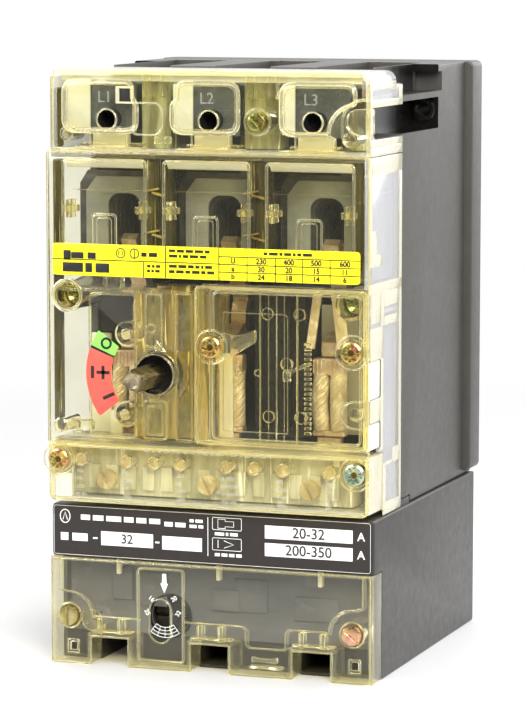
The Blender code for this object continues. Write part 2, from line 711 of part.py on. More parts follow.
def screw(name, x, z, head_r, head, shank_r, end, slot_deg):
    """Slotted screw along y: head span, shank radius and far end, slot turned from level."""
    front, under = head
    edge = 0.4
    profile = [
        (0, front),
        (head_r - edge, front),
        (head_r, front + edge),
        (head_r, under),
        (shank_r, under),
        (shank_r, end),
        (0, end),
    ]
    body = turned(name, x, z, profile, 20)
    slot = block(name + "_slot", (-head_r - 1, head_r + 1), (-1, 1), (-0.5, 0.5))
    slot.rotation_euler = (0, math.radians(slot_deg), 0)
    slot.location = spot(x, front - 0.1, z)
    part(body, BRASS, cut=[slot])


def screws():
    """All the screws that hold the clear covers."""
    screw("terminal_cover_screw", 22, 225.5, 3.6, (-2.2, -GAP), 2.0, 40, -50)
    for name, x, slot in (("cover_screw_left", -60.5, -15), ("cover_screw_right", 60.5, -20)):
        screw(name, x, 153.5, 4.5, (10, 12.5), 1.9, 56, slot)
    for name, x in (("sealed_screw_left", 2.9), ("sealed_screw_right", 62.5)):
        screw(name, x, 135, 4.3, (-3.4, -1.8), 1.8, 13, 30)
    for name, x in (("band_screw_left", -64.3), ("band_screw_right", 63.5)):
        screw(name, x, 86, 4.4, (-2.0, -GAP), 1.8, 19, 60)
    for name, x, slot in (("trip_screw_left", -61.5, 90), ("trip_screw_right", 61.5, -40)):
        screw(name, x, 20.3, 4.9, (0.9, 2.8), 1.8, 18.5, slot)


# ---------------------------------------------------------------- assembly


def build():
    base_housing()
    line_block()
    rear_plate()
    trip_housing()
    trip_front()
    front_cover()
    terminal_cover()
    auxiliary_cover()
    accessory_cover()
    trip_cover()
    labels()
    mechanism_frame()
    accessory_module()
    auxiliary_block()
    shaft_hub()
    screws()

    shaft_axis = pivot("shaft_axis", SHAFT_X, 0, SHAFT_Z)
    hang(operating_shaft(), shaft_axis)
    crossbar_axis = pivot("crossbar_axis", 0, CROSSBAR_Y, CROSSBAR_Z)
    hang(crossbar(), crossbar_axis)
    trip_axis = pivot("trip_bar_axis", 0, TRIP_BAR_Y, TRIP_BAR_Z)
    hang(trip_bar(), trip_axis)
    dial_axis = pivot("dial_axis", DIAL_X, 18, DIAL_Z)
    hang(thermal_dial(), dial_axis)

    for pole, x in POLES.items():
        arc_chute(pole, x)
        line_terminal(pole, x)
        load_conductor(pole, x)
        flexible(pole, x)
        magnet_yoke(pole, x)
        bimetal(pole, x)
        hang(contact_arm(pole, x), crossbar_axis)
        armature_axis = pivot(f"armature_axis_{pole}", x, ARMATURE_Y, ARMATURE_Z)
        hang(armature(pole, x), armature_axis)


build()
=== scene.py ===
import math
import random

import bmesh
import bpy
from mathutils import Matrix, Vector


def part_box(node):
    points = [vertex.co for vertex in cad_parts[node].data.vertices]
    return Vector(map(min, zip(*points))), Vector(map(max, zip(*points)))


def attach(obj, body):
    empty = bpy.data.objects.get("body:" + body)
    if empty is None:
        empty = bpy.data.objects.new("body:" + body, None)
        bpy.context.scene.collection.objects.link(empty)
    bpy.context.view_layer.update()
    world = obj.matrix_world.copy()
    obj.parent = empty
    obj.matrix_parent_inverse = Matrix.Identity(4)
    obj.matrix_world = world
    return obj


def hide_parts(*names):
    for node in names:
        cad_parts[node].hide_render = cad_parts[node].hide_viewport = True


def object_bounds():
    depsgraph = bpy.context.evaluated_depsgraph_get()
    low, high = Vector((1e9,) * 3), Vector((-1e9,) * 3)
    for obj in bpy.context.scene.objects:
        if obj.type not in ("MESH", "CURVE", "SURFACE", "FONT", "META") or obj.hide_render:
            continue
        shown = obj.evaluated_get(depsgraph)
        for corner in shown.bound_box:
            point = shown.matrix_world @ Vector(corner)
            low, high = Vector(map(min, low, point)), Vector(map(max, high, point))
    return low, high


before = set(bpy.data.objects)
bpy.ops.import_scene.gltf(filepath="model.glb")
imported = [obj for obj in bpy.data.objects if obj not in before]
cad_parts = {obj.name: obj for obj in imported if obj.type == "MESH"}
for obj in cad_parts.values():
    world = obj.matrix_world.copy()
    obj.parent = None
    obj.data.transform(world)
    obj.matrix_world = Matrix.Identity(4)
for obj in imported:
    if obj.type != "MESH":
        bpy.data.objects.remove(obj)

# Lengths below are millimetres: x from the middle, depth behind the main cover's face, z above the underside.
MM = 0.001
CAD_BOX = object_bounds()
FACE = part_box("front_cover")[0].y
scene = bpy.context.scene


def limits(node):
    """x, depth and z ranges of a CAD node."""
    low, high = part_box(node)
    return (
        (low.x / MM, high.x / MM),
        ((low.y - FACE) / MM, (high.y - FACE) / MM),
        (low.z / MM, high.z / MM),
    )


def centre(node):
    return [sum(pair) / 2 for pair in limits(node)]


POLES = {name: centre(f"line_screw_{name}")[0] for name in ("left", "centre", "right")}
BASE_X, BASE_D, BASE_Z = limits("base_housing")
LINE_TOP = limits("line_block")[2][1]
REAR_X, REAR_D, REAR_Z = limits("rear_plate")
TRIP_X = limits("trip_housing")[0]
TRIP_FRONT = limits("trip_front")[1][0]
COVER_X, COVER_D, COVER_Z = limits("front_cover")
CAP_X, _, CAP_Z = limits("terminal_cover")
BAND_X, BAND_D, BAND_Z = limits("auxiliary_cover")
FLAP_X, _, FLAP_Z = limits("accessory_cover")
SHIELD_X, SHIELD_D, SHIELD_Z = limits("trip_cover")
SHAFT_X, _, SHAFT_Z = centre("shaft_hub")
DIAL_X, _, DIAL_Z = centre("thermal_dial")
SHAFT = (SHAFT_X, SHAFT_Z)
SIDES = (-1, 1)
CHANNEL_IN = 57.2
CHANNEL_END = 95.0
MOUNT_X = 61.8
MOUNT_Z = 227.0
TRIP_SCREW_X = 61.5
DRIVER_Z = 225.5
DRIVER_SHIFT = 1.2
BAND_TOP = BAND_Z[1] + 0.3
BAND_BACK = BAND_D[1] + 0.3
WALL_SKIN = (-0.35, 0.1)
PRINT = 0.12


# ---------------------------------------------------------------- geometry


def soften(bm, edge, segments=2, over=30):
    sharp = [e for e in bm.edges if len(e.link_faces) == 2 and e.calc_face_angle(0) > math.radians(over)]
    if edge > 0 and sharp:
        bmesh.ops.bevel(
            bm, geom=sharp, offset=edge, segments=segments, profile=0.5, affect="EDGES", clamp_overlap=True
        )


def ring(middle, radius, start=0, end=360, steps=32):
    """Points on an arc; a whole turn leaves out the repeated last point."""
    count = steps if end - start >= 360 else steps + 1
    angles = [math.radians(start + (end - start) * i / steps) for i in range(count)]
    return [(middle[0] + radius * math.cos(a), middle[1] + radius * math.sin(a)) for a in angles]


def rounded(u, v, radius, steps=5):
    """Rectangle outline with round corners; radius may list the four, from lower right anticlockwise."""
    radii = radius if isinstance(radius, (list, tuple)) else [radius] * 4
    points = []
    corners = ((u[1], v[0], -90), (u[1], v[1], 0), (u[0], v[1], 90), (u[0], v[0], 180))
    for (cu, cv, start), r in zip(corners, radii):
        su = cu - r if cu == u[1] else cu + r
        sv = cv + r if cv == v[0] else cv - r
        points += ring((su, sv), r, start, start + 90, steps) if r else [(cu, cv)]
    return points


def fillet(points, radius, steps=5):
    """Closed outline with every corner rounded."""
    out = []
    for i, here in enumerate(points):
        here = Vector(here)
        back = Vector(points[i - 1]) - here
        on = Vector(points[(i + 1) % len(points)]) - here
        reach = min(radius, back.length * 0.48, on.length * 0.48)
        a, b = here + back.normalized() * reach, here + on.normalized() * reach
        for k in range(steps + 1):
            t = k / steps
            out.append(tuple(a * (1 - t) ** 2 + here * 2 * t * (1 - t) + b * t * t))
    return out


# What turns (u, v, along) into (x, depth, z) for a solid that lies along each axis.
ALONG = {
    "x": Matrix(((0, 0, 1, 0), (1, 0, 0, 0), (0, 1, 0, 0), (0, 0, 0, 1))),
    "y": Matrix(((1, 0, 0, 0), (0, 0, 1, 0), (0, 1, 0, 0), (0, 0, 0, 1))),
    "z": Matrix.Identity(4),
}


class Piece:
    """One mesh gathered from rounded solids."""

    def __init__(self, name):
        self.name = name
        self.bm = bmesh.new()

    def take(self, source, turn=None):
        if turn is not None:
            bmesh.ops.transform(source, matrix=turn, verts=source.verts)
        mesh = bpy.data.meshes.new("step")
        source.to_mesh(mesh)
        source.free()
        self.bm.from_mesh(mesh)
        bpy.data.meshes.remove(mesh)
        return self

    def block(self, x, depth, z, edge=0.3, segments=2, turn=None):
        """Box between limits; turn is (axis letter, degrees) about its middle."""
        bm = bmesh.new()
        size = [b - a for a, b in (x, depth, z)]
        bmesh.ops.create_cube(bm, size=1)
        bmesh.ops.scale(bm, vec=size, verts=bm.verts)
        soften(bm, min(edge, min(size) * 0.45), segments)
        place = Matrix.Translation([sum(p) / 2 for p in (x, depth, z)])
        if turn:
            place = place @ Matrix.Rotation(math.radians(turn[1]), 4, turn[0].upper())
        return self.take(bm, place)

    def blocks(self, edge, *boxes):
        """Boxes given as x0, x1, depth0, depth1, z0, z1."""
        for x0, x1, d0, d1, z0, z1 in boxes:
            self.block((x0, x1), (d0, d1), (z0, z1), edge)
        return self

    def row(self, middles, half, depth, z, edge):
        """Equal boxes whose middles lie at several x."""
        for x in middles:
            self.block((x - half, x + half), depth, z, edge)
        return self

    def prism(self, outline, span, axis="y", edge=0.3, segments=2):
        """Closed outline, (x, z) along y or (depth, z) along x or (x, depth) along z, between two ends."""
        bm = bmesh.new()
        ends = [[bm.verts.new((u, v, w)) for u, v in outline] for w in span]
        bmesh.ops.transform(bm, matrix=ALONG[axis], verts=bm.verts)
        bm.faces.new(ends[0])
        bm.faces.new(list(reversed(ends[1])))
        for i in range(len(outline)):
            j = (i + 1) % len(outline)
            bm.faces.new((ends[0][i], ends[0][j], ends[1][j], ends[1][i]))
        bmesh.ops.recalc_face_normals(bm, faces=bm.faces)
        soften(bm, min(edge, abs(span[1] - span[0]) * 0.45), segments, 40)
        return self.take(bm)

    def sheet(self, outlines, span, edge=0.3, axis="y"):
        """Flat plate with holes: the first outline is its border and the others are holes."""
        curve = bpy.data.curves.new("sheet", "CURVE")
        curve.dimensions = "2D"
        curve.fill_mode = "BOTH"
        curve.extrude = (span[1] - span[0]) / 2 - edge
        curve.bevel_depth = edge
        curve.bevel_resolution = 1
        curve.offset = -edge
        for outline in outlines:
            spline = curve.splines.new("POLY")
            spline.points.add(len(outline) - 1)
            for point, (u, v) in zip(spline.points, outline):
                point.co = (u, v, 0, 1)
            spline.use_cyclic_u = True
        middle = sum(span) / 2
        if axis == "y":
            turn = Matrix.Translation((0, middle, 0)) @ Matrix.Rotation(math.pi / 2, 4, "X")
        else:
            turn = ALONG[axis] @ Matrix.Translation((0, 0, middle))
        return self.take(self._from_curve(curve), turn)

    def tube(self, points, radius, cyclic=False, sides=2):
        """Round wire through (x, depth, z) points."""
        curve = bpy.data.curves.new("tube", "CURVE")
        curve.dimensions = "3D"
        curve.bevel_depth = radius
        curve.bevel_resolution = sides
        curve.use_fill_caps = True
        spline = curve.splines.new("POLY")
        spline.points.add(len(points) - 1)
        for point, p in zip(spline.points, points):
            point.co = (*p, 1)
        spline.use_cyclic_u = cyclic
        return self.take(self._from_curve(curve))

    def bead(self, outline, depth, radius, cyclic=True):
        """Round rim along an (x, z) outline at one depth."""
        return self.tube([(u, depth, v) for u, v in outline], radius, cyclic)

    def spin(self, profile, middle, axis="y", steps=32, closed=False):
        """Turned solid from (radius, position along the axis) points."""
        bm = bmesh.new()
        rows = []
        for i in range(steps):
            a = 2 * math.pi * i / steps
            rows.append([bm.verts.new((r * math.cos(a), r * math.sin(a), w)) for r, w in profile])
        pairs = list(zip(range(len(profile)), range(1, len(profile))))
        if closed:
            pairs.append((len(profile) - 1, 0))
        for i in range(steps):
            a, b = rows[i], rows[(i + 1) % steps]
            for p, q in pairs:
                bm.faces.new((a[p], a[q], b[q], b[p]))
        bmesh.ops.remove_doubles(bm, verts=bm.verts, dist=1e-4)
        bmesh.ops.recalc_face_normals(bm, faces=bm.faces)
        return self.take(bm, ALONG[axis] @ Matrix.Translation((*middle, 0)))

    def pin(self, middle, radius, near, far, axis="y", steps=32):
        """Plain cylinder between two positions along its axis."""
        return self.spin([(0, near), (radius, near), (radius, far), (0, far)], middle, axis, steps)

    def pipe(self, middle, outer, inner, near, far, steps=36):
        """Plain tube with square ends that lies along y."""
        profile = [(outer, near), (outer, far), (inner, far), (inner, near)]
        return self.spin(profile, middle, steps=steps, closed=True)

    def _from_curve(self, curve):
        drawn = bpy.data.objects.new("drawn", curve)
        scene.collection.objects.link(drawn)
        graph = bpy.context.evaluated_depsgraph_get()
        mesh = bpy.data.meshes.new_from_object(drawn.evaluated_get(graph))
        bpy.data.objects.remove(drawn)
        bm = bmesh.new()
        bm.from_mesh(mesh)
        bpy.data.meshes.remove(mesh)
        bmesh.ops.remove_doubles(bm, verts=bm.verts, dist=1e-4)
        return bm

    def cut(self, other):
        """Takes another piece's solids away from this one."""
        pair = []
        for bm in (self.bm, other.bm):
            mesh = bpy.data.meshes.new("operand")
            bmesh.ops.recalc_face_normals(bm, faces=bm.faces)
            bm.to_mesh(mesh)
            bm.free()
            obj = bpy.data.objects.new("operand", mesh)
            scene.collection.objects.link(obj)
            pair.append(obj)
        step = pair[0].modifiers.new("cut", "BOOLEAN")
        step.operation = "DIFFERENCE"
        step.solver = "EXACT"
        step.use_self = True
        step.object = pair[1]
        graph = bpy.context.evaluated_depsgraph_get()
        mesh = bpy.data.meshes.new_from_object(pair[0].evaluated_get(graph))
        self.bm = bmesh.new()
        self.bm.from_mesh(mesh)
        bmesh.ops.remove_doubles(self.bm, verts=self.bm.verts, dist=1e-4)
        for obj in pair:
            bpy.data.objects.remove(obj)
        return self

    def done(self, material, body="enclosure", nodes=(), edges=None, where=None):
        """Places the mesh in the frame; the edges material goes on the faces that where picks."""
        where = where or (lambda face: abs(face.normal.y) <= 0.93)
        bmesh.ops.scale(self.bm, vec=(MM, MM, MM), verts=self.bm.verts)
        bmesh.ops.translate(self.bm, vec=(0, FACE, 0), verts=self.bm.verts)
        self.bm.normal_update()
        mesh = bpy.data.meshes.new(self.name)
        self.bm.to_mesh(mesh)
        self.bm.free()
        mesh.materials.append(material)
        if edges:
            mesh.materials.append(edges)
        for face in mesh.polygons:
            face.material_index = int(where(face)) if edges else 0
        mesh.shade_smooth()
        mesh.set_sharp_from_angle(angle=math.radians(35))
        obj = bpy.data.objects.new(self.name, mesh)
        scene.collection.objects.link(obj)
        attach(obj, body)
        if nodes:
            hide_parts(*nodes)
        return obj

    def stands_for(self, material, body="enclosure", edges=None):
        """Places a piece that replaces the CAD node of its own name."""
        return self.done(material, body, (self.name,), edges)


def slabs(name, material, edge, *boxes):
    """Piece made only of boxes with one edge radius."""
    return Piece(name).blocks(edge, *boxes).done(material)


def lettering(name, text, x, depth, z, size, material, bold=0.0, turn=0.0):
    """Small numerals or marks on a face that looks forward, centred on (x, z)."""
    curve = bpy.data.curves.new(name, "FONT")
    curve.body = text
    curve.size = size * MM
    curve.align_x = "CENTER"
    curve.align_y = "CENTER"
    curve.extrude = 0.05 * MM
    curve.offset = bold * MM
    curve.materials.append(material)
    obj = bpy.data.objects.new(name, curve)
    obj.location = (x * MM, FACE + depth * MM, z * MM)
    obj.rotation_euler = (math.pi / 2, math.radians(turn), 0)
    scene.collection.objects.link(obj)
    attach(obj, "enclosure")


# ---------------------------------------------------------------- materials


class Surface:
    """Node material built up from procedural layers."""

    def __init__(self, name, roughness=0.5, metallic=0.0, ior=1.5):
        self.material = bpy.data.materials.new(name)
        self.material.use_nodes = True
        self.tree = self.material.node_tree
        self.shader = self.tree.nodes["Principled BSDF"]
        self.shader.inputs["Roughness"].default_value = roughness
        self.shader.inputs["Metallic"].default_value = metallic
        self.shader.inputs["IOR"].default_value = ior
        self.place = self.node("ShaderNodeTexCoord").outputs["Object"]

    def node(self, kind, **values):
        made = self.tree.nodes.new(kind)
        for key, value in values.items():
            setattr(made, key, value)
        return made

    def link(self, source, target):
        self.tree.links.new(source, target)

    def noise(self, scale, detail=4, rough=0.6, stretch=(1, 1, 1), distort=0.0):
        mapping = self.node("ShaderNodeMapping")
        mapping.inputs["Scale"].default_value = stretch
        self.link(self.place, mapping.inputs["Vector"])
        tex = self.node("ShaderNodeTexNoise")
        values = {"Scale": scale, "Detail": detail, "Roughness": rough, "Distortion": distort}
        for key, value in values.items():
            tex.inputs[key].default_value = value
        self.link(mapping.outputs["Vector"], tex.inputs["Vector"])
        return tex.outputs["Fac"]

    def patches(self, low, high, *noise, most=1):
        """Noise stretched so that it runs from none at low to most at high."""
        return self.range(self.noise(*noise), low, high, 0, most)

    def specks(self, scale, low, high):
        """Small round dots: 1 inside, 0 outside."""
        tex = self.node("ShaderNodeTexVoronoi")
        tex.inputs["Scale"].default_value = scale
        self.link(self.place, tex.inputs["Vector"])
        return self.range(tex.outputs["Distance"], low, high, 1, 0)

    def range(self, value, a, b, c, d):
        made = self.node("ShaderNodeMapRange")
        for key, number in zip(("From Min", "From Max", "To Min", "To Max"), (a, b, c, d)):
            made.inputs[key].default_value = number
        self.link(value, made.inputs["Value"])
        return made.outputs["Result"]

    def maths(self, operation, a, b):
        made = self.node("ShaderNodeMath", operation=operation)
        self.link(a, made.inputs[0])
        if isinstance(b, (int, float)):
            made.inputs[1].default_value = b
        else:
            self.link(b, made.inputs[1])
        return made.outputs[0]

    def times(self, a, b):
        return self.maths("MULTIPLY", a, b)

    def mix(self, fac, a, b):
        made = self.node("ShaderNodeMix", data_type="RGBA")
        self.link(fac, made.inputs["Factor"])
        for key, value in (("A", a), ("B", b)):
            socket = [s for s in made.inputs if s.name == key and s.type == "RGBA"][0]
            if isinstance(value, tuple):
                socket.default_value = (*value, 1)
            else:
                self.link(value, socket)
        return [s for s in made.outputs if s.type == "RGBA"][0]

    def shade(self, fac, first, second):
        """Shader that goes from the first to the second as fac goes from 0 to 1."""
        made = self.node("ShaderNodeMixShader")
        for source, socket in zip((fac, first, second), made.inputs):
            self.link(source, socket)
        return made.outputs[0]

    def simple(self, kind, colour):
        """Plain shader node of one colour."""
        made = self.node(kind)
        made.inputs["Color"].default_value = (*colour, 1)
        return made

    def finish(self, surface):
        self.link(surface, self.tree.nodes["Material Output"].inputs["Surface"])
        return self.material

    def colour(self, value):
        self.link(value, self.shader.inputs["Base Color"])

    def rough(self, low, high, *noise):
        self.link(self.range(self.noise(*noise), 0.3, 0.7, low, high), self.shader.inputs["Roughness"])

    def bump(self, height, strength, distance=0.1):
        made = self.node("ShaderNodeBump")
        made.inputs["Strength"].default_value = strength
        made.inputs["Distance"].default_value = distance * MM
        self.link(height, made.inputs["Height"])
        last = self.shader.inputs["Normal"]
        if last.is_linked:
            self.link(last.links[0].from_socket, made.inputs["Normal"])
        self.link(made.outputs["Normal"], last)


def dimmed(colour, factor):
    return tuple(c * factor for c in colour)


def moulded(name, dark, light, roughness, dust, grain=0.25, scuff=(0.5, 0.5, 0.47), ior=1.5):
    """Moulded plastic with fine flow grain, pale specks and rubbed patches."""
    s = Surface(name, roughness, ior=ior)
    base = s.mix(s.patches(0.35, 0.68, 34, 6, 0.7, (1, 1, 1.6)), dark, light)
    rub = s.times(s.patches(0.6, 0.8, 75, 6, 0.72, (1, 1.3, 0.8)), dust)
    base = s.mix(rub, base, scuff)
    dots = s.times(s.specks(420, 0.05, 0.09), s.patches(0.55, 0.62, 90, 2, most=0.55 * dust + 0.15))
    s.colour(s.mix(dots, base, (0.55, 0.54, 0.5)))
    s.rough(roughness - 0.04, roughness + 0.05, 240, 3)
    s.bump(s.noise(1500, 3, 0.6), grain)
    return s.material


def metal(name, colours, roughness, brushed=(1, 1, 1), scratch=0.3, tarnish=(0.12, 0.1, 0.06), metallic=1.0):
    """Metal whose colour drifts between tones, with brushed lines, tarnish and fine scratches."""
    s = Surface(name, roughness, metallic)
    drift = s.mix(s.patches(0.38, 0.62, 130, 3, 0.6), colours[0], colours[1])
    if len(colours) > 2:
        drift = s.mix(s.patches(0.5, 0.66, 210, 3, 0.6, (1.3, 1, 0.8)), drift, colours[2])
    s.colour(s.mix(s.patches(0.58, 0.75, 420, 6, 0.7, most=0.6), drift, tarnish))
    s.rough(roughness * 0.6, roughness * 1.5, 800, 4, 0.6, brushed)
    s.bump(s.noise(1400, 3, 0.6, brushed), scratch)
    return s.material


def clear(name, tint, haze_colour, haze, gloss, scratch=0.35, roughness=0.05, grazing=0.4):
    """Clear plastic: light passes, a little is mirrored, and haze, dust and hairlines catch some."""
    s = Surface(name, roughness)
    passing = s.node("ShaderNodeBsdfTransparent")
    s.link(s.mix(s.patches(0.3, 0.7, 45, 3), tint, dimmed(tint, 0.97)), passing.inputs["Color"])
    s.colour(s.mix(s.patches(0.35, 0.65, 70, 3), haze_colour, dimmed(haze_colour, 0.93)))
    s.rough(roughness * 0.6, roughness * 1.6 + 0.02, 300)
    s.bump(s.noise(55, 2, 0.5), 0.12, 0.6)
    s.bump(s.noise(900, 3, 0.7, (0.15, 1, 1)), scratch * 0.3, 0.05)
    hair = s.times(s.patches(0.66, 0.74, 260, 5, 0.75, (0.25, 1, 2.4)), scratch)
    grit = s.times(s.specks(520, 0.04, 0.07), s.patches(0.6, 0.66, 80, 2, most=0.6))
    marks = s.maths("ADD", s.times(hair, 0.12), grit)
    cover = s.maths("ADD", marks, haze)
    cover.node.use_clamp = True
    lower = s.shade(cover, passing.outputs[0], s.shader.outputs[0])
    mirror = s.simple("ShaderNodeBsdfGlossy", (1, 1, 0.97))
    mirror.inputs["Roughness"].default_value = roughness
    s.link(s.shader.inputs["Normal"].links[0].from_socket, mirror.inputs["Normal"])
    slant = s.node("ShaderNodeLayerWeight")
    slant.inputs["Blend"].default_value = 0.12
    shine = s.range(slant.outputs["Facing"], 0, 1, gloss, min(1, gloss * 6 + grazing))
    return s.finish(s.shade(shine, lower, mirror.outputs[0]))


def glass(name, tint, roughness=0.04, wave=0.25, haze=0.0):
    """Thick clear plastic that refracts; light reaches the parts behind it straight through."""
    s = Surface(name, roughness)
    s.shader.inputs["Transmission Weight"].default_value = 1.0
    s.colour(s.mix(s.patches(0.3, 0.7, 60, 3), tint, tuple(c * c * 0.98 for c in tint)))
    s.rough(roughness * 0.5, roughness * 2, 300)
    s.bump(s.noise(180, 2, 0.5), wave, 0.5)
    s.bump(s.noise(1100, 3, 0.7), 0.08, 0.05)
    path = s.node("ShaderNodeLightPath")
    straight = s.maths("MAXIMUM", path.outputs["Is Shadow Ray"], path.outputs["Is Diffuse Ray"])
    hair = s.times(s.patches(0.64, 0.76, 260, 5, 0.75, (0.4, 1, 2)), 0.25)
    milk = s.simple("ShaderNodeBsdfDiffuse", (min(1, c * 1.02) for c in tint))
    passing = s.simple("ShaderNodeBsdfTransparent", tint)
    solid = s.shade(s.range(hair, 0, 1, haze, 1), s.shader.outputs[0], milk.outputs[0])
    return s.finish(s.shade(straight, solid, passing.outputs[0]))


def streaked(name, deep, mid, bright, roughness=0.12, fine=1):
    """Thick moulding seen end on: deep amber with drawn-out bright streaks that paint the highlights thick
    clear plastic shows there.
    """
    s = Surface(name, roughness)
    body = s.mix(s.patches(0.4, 0.62, 55 * fine, 4, 0.6, (3, 1, 0.35 / fine), 0.4), deep, mid)
    # The bright streaks are painted highlights.
    lines = s.patches(0.6, 0.66, 90 * fine, 3, 0.6, (4, 1, 0.18 / fine), 0.6)
    s.colour(s.mix(lines, body, bright))
    s.rough(roughness * 0.6, roughness * 2, 300, 3)
    s.bump(s.noise(120, 3, 0.5, (2, 1, 0.3)), 0.3, 0.5)
    return s.material


def film(name, colour, wear, roughness=0.4, dust=0.3):
    """Printed film or ink with slight mottling and tiny worn spots."""
    s = Surface(name, roughness)
    base = s.mix(s.patches(0.3, 0.7, 160), colour, dimmed(colour, 0.9))
    spots = s.times(s.patches(0.66, 0.74, 700, 5, 0.7), dust)
    s.colour(s.mix(spots, base, wear))
    s.rough(roughness - 0.08, roughness + 0.12, 500, 3)
    s.bump(s.noise(900, 3), 0.15, 0.05)
    return s.material


def backdrop(name):
    """White paper floor that fades into the bright background away from the object."""
    s = Surface(name, 0.6)
    s.colour(s.mix(s.noise(3, 3), (0.56, 0.56, 0.56), (0.53, 0.53, 0.53)))
    s.bump(s.noise(400, 3), 0.05, 0.05)
    reach = s.node("ShaderNodeVectorMath", operation="LENGTH")
    s.link(s.place, reach.inputs[0])
    glow = s.node("ShaderNodeEmission").outputs[0]
    return s.finish(s.shade(s.range(reach.outputs["Value"], 0.18, 0.9, 0.02, 1), s.shader.outputs[0], glow))


HOUSING = moulded(
    "housing_plastic", (0.047, 0.043, 0.038), (0.057, 0.053, 0.047), 0.42, 0.07, 0.3, (0.3, 0.3, 0.28)
)
# Darker copy of the housing plastic for the trip case: the extra darkness is painted shade low by the floor.
TRIP_CASE_SHADED = moulded(
    "trip_case_shaded_plastic", (0.025, 0.023, 0.02), (0.032, 0.029, 0.026), 0.42, 0.08, 0.25, (0.3, 0.3, 0.28)
)
# Near-black copy of the housing plastic for the side channels: its darkness is painted shade in the recesses,
# and its lower roughness gives their gloss.
GLOSSY_SHADED = moulded(
    "channel_shaded_plastic", (0.004, 0.0035, 0.003), (0.008, 0.007, 0.006), 0.22, 0.02, 0.1, (0.1, 0.1, 0.09)
)
TRIP_PLATE = moulded("trip_plate", (0.075, 0.075, 0.078), (0.11, 0.11, 0.114), 0.5, 0.25, 0.2)
BLACK = moulded(
    "black_plastic", (0.008, 0.007, 0.006), (0.018, 0.016, 0.014), 0.3, 0.03, 0.12, (0.3, 0.3, 0.28), 1.22
)
OLIVE = streaked("olive_moulding", (0.14, 0.09, 0.008), (0.36, 0.27, 0.05), (0.85, 0.74, 0.36))
HONEY = streaked("honey_moulding", (0.16, 0.155, 0.08), (0.42, 0.42, 0.26), (0.9, 0.89, 0.7))
SEAT = streaked("band_moulding", (0.38, 0.35, 0.2), (0.6, 0.57, 0.4), (0.9, 0.88, 0.74), 0.3)
# Pale material of the slabs that paint the bright background seen through the terminal pockets.
POCKET_LIGHT = moulded("pocket_light_moulding", (0.52, 0.52, 0.45), (0.66, 0.66, 0.59), 0.3, 0.2, 0.1, (0.85, 0.84, 0.75))
WELL = moulded(
    "well_plastic", (0.045, 0.05, 0.055), (0.11, 0.118, 0.125), 0.25, 0.2, 0.1, (0.4, 0.42, 0.44)
)
PANEL = moulded("panel_plastic", (0.62, 0.62, 0.6), (0.78, 0.78, 0.77), 0.3, 0.2, 0.1, (0.95, 0.95, 0.93))
SHELL = clear("shell_clear", (0.975, 0.955, 0.85), (0.91, 0.89, 0.72), 0.06, 0.04, 0.4, 0.1)
CREAMY = clear("cream_clear", (0.98, 0.95, 0.8), (0.94, 0.91, 0.74), 0.4, 0.05, 0.4, 0.15)
ETCHED = clear("etched_mark", (0.9, 0.9, 0.86), (0.8, 0.8, 0.72), 0.13, 0.02, 0.2, 0.3)
LIP = glass("lip_clear", (0.97, 0.94, 0.77), 0.04, 0.3, 0.09)
DUSKY = streaked("dusky_moulding", (0.016, 0.013, 0.002), (0.07, 0.056, 0.01), (0.7, 0.6, 0.2), 0.12, 2.5)
# Clear plastic with a white haze that paints part of the white reflection on the lid's top.
HAZE_SHEEN = clear("haze_sheen_clear", (0.98, 0.97, 0.88), (0.98, 0.97, 0.83), 0.32, 0.06, 0.4, 0.15, 1.0)
BRASS = metal(
    "brass_screw", ((0.6, 0.47, 0.2), (0.45, 0.34, 0.13), (0.74, 0.62, 0.34)), 0.4, (1, 1, 1), 0.3,
    (0.25, 0.18, 0.08), 0.45,
)
WORN = metal("worn_steel", ((0.42, 0.35, 0.22), (0.3, 0.24, 0.15), (0.56, 0.49, 0.34)), 0.36)
WHITISH = moulded(
    "whitish_moulding", (0.8, 0.79, 0.66), (0.9, 0.89, 0.78), 0.3, 0.2, 0.1, (0.98, 0.97, 0.9)
)
CREAM = moulded("cream_moulding", (0.72, 0.68, 0.44), (0.86, 0.82, 0.6), 0.35, 0.2, 0.1, (0.98, 0.96, 0.85))
FIBRE = moulded("grey_fibre", (0.18, 0.185, 0.168), (0.29, 0.295, 0.27), 0.55, 0.25, 0.35)
PALE = clear("pale_clear", (0.985, 0.978, 0.9), (0.93, 0.91, 0.72), 0.008, 0.02)
PANE = clear("pane_clear", (0.995, 0.99, 0.955), (0.95, 0.94, 0.86), 0.02, 0.0, 0.35, 0.05, 0.06)
RIM = glass("rim_clear", (0.97, 0.94, 0.75), 0.05, 0.3, 0.04)
MILKY = clear("milky_clear", (0.965, 0.965, 0.97), (0.79, 0.79, 0.84), 0.3, 0.04, 0.5, 0.12)
GOLD = metal("gold_screw", ((0.72, 0.48, 0.13), (0.42, 0.38, 0.12), (0.6, 0.22, 0.13)), 0.25)
GREENISH = metal("green_gold_screw", ((0.5, 0.46, 0.13), (0.24, 0.3, 0.1), (0.66, 0.5, 0.17)), 0.26)
SILVERY = metal("silver_green_screw", ((0.5, 0.62, 0.48), (0.25, 0.34, 0.24), (0.7, 0.58, 0.2)), 0.25)
PINKISH = metal("pink_screw", ((0.72, 0.4, 0.3), (0.7, 0.48, 0.2), (0.6, 0.25, 0.22)), 0.26)
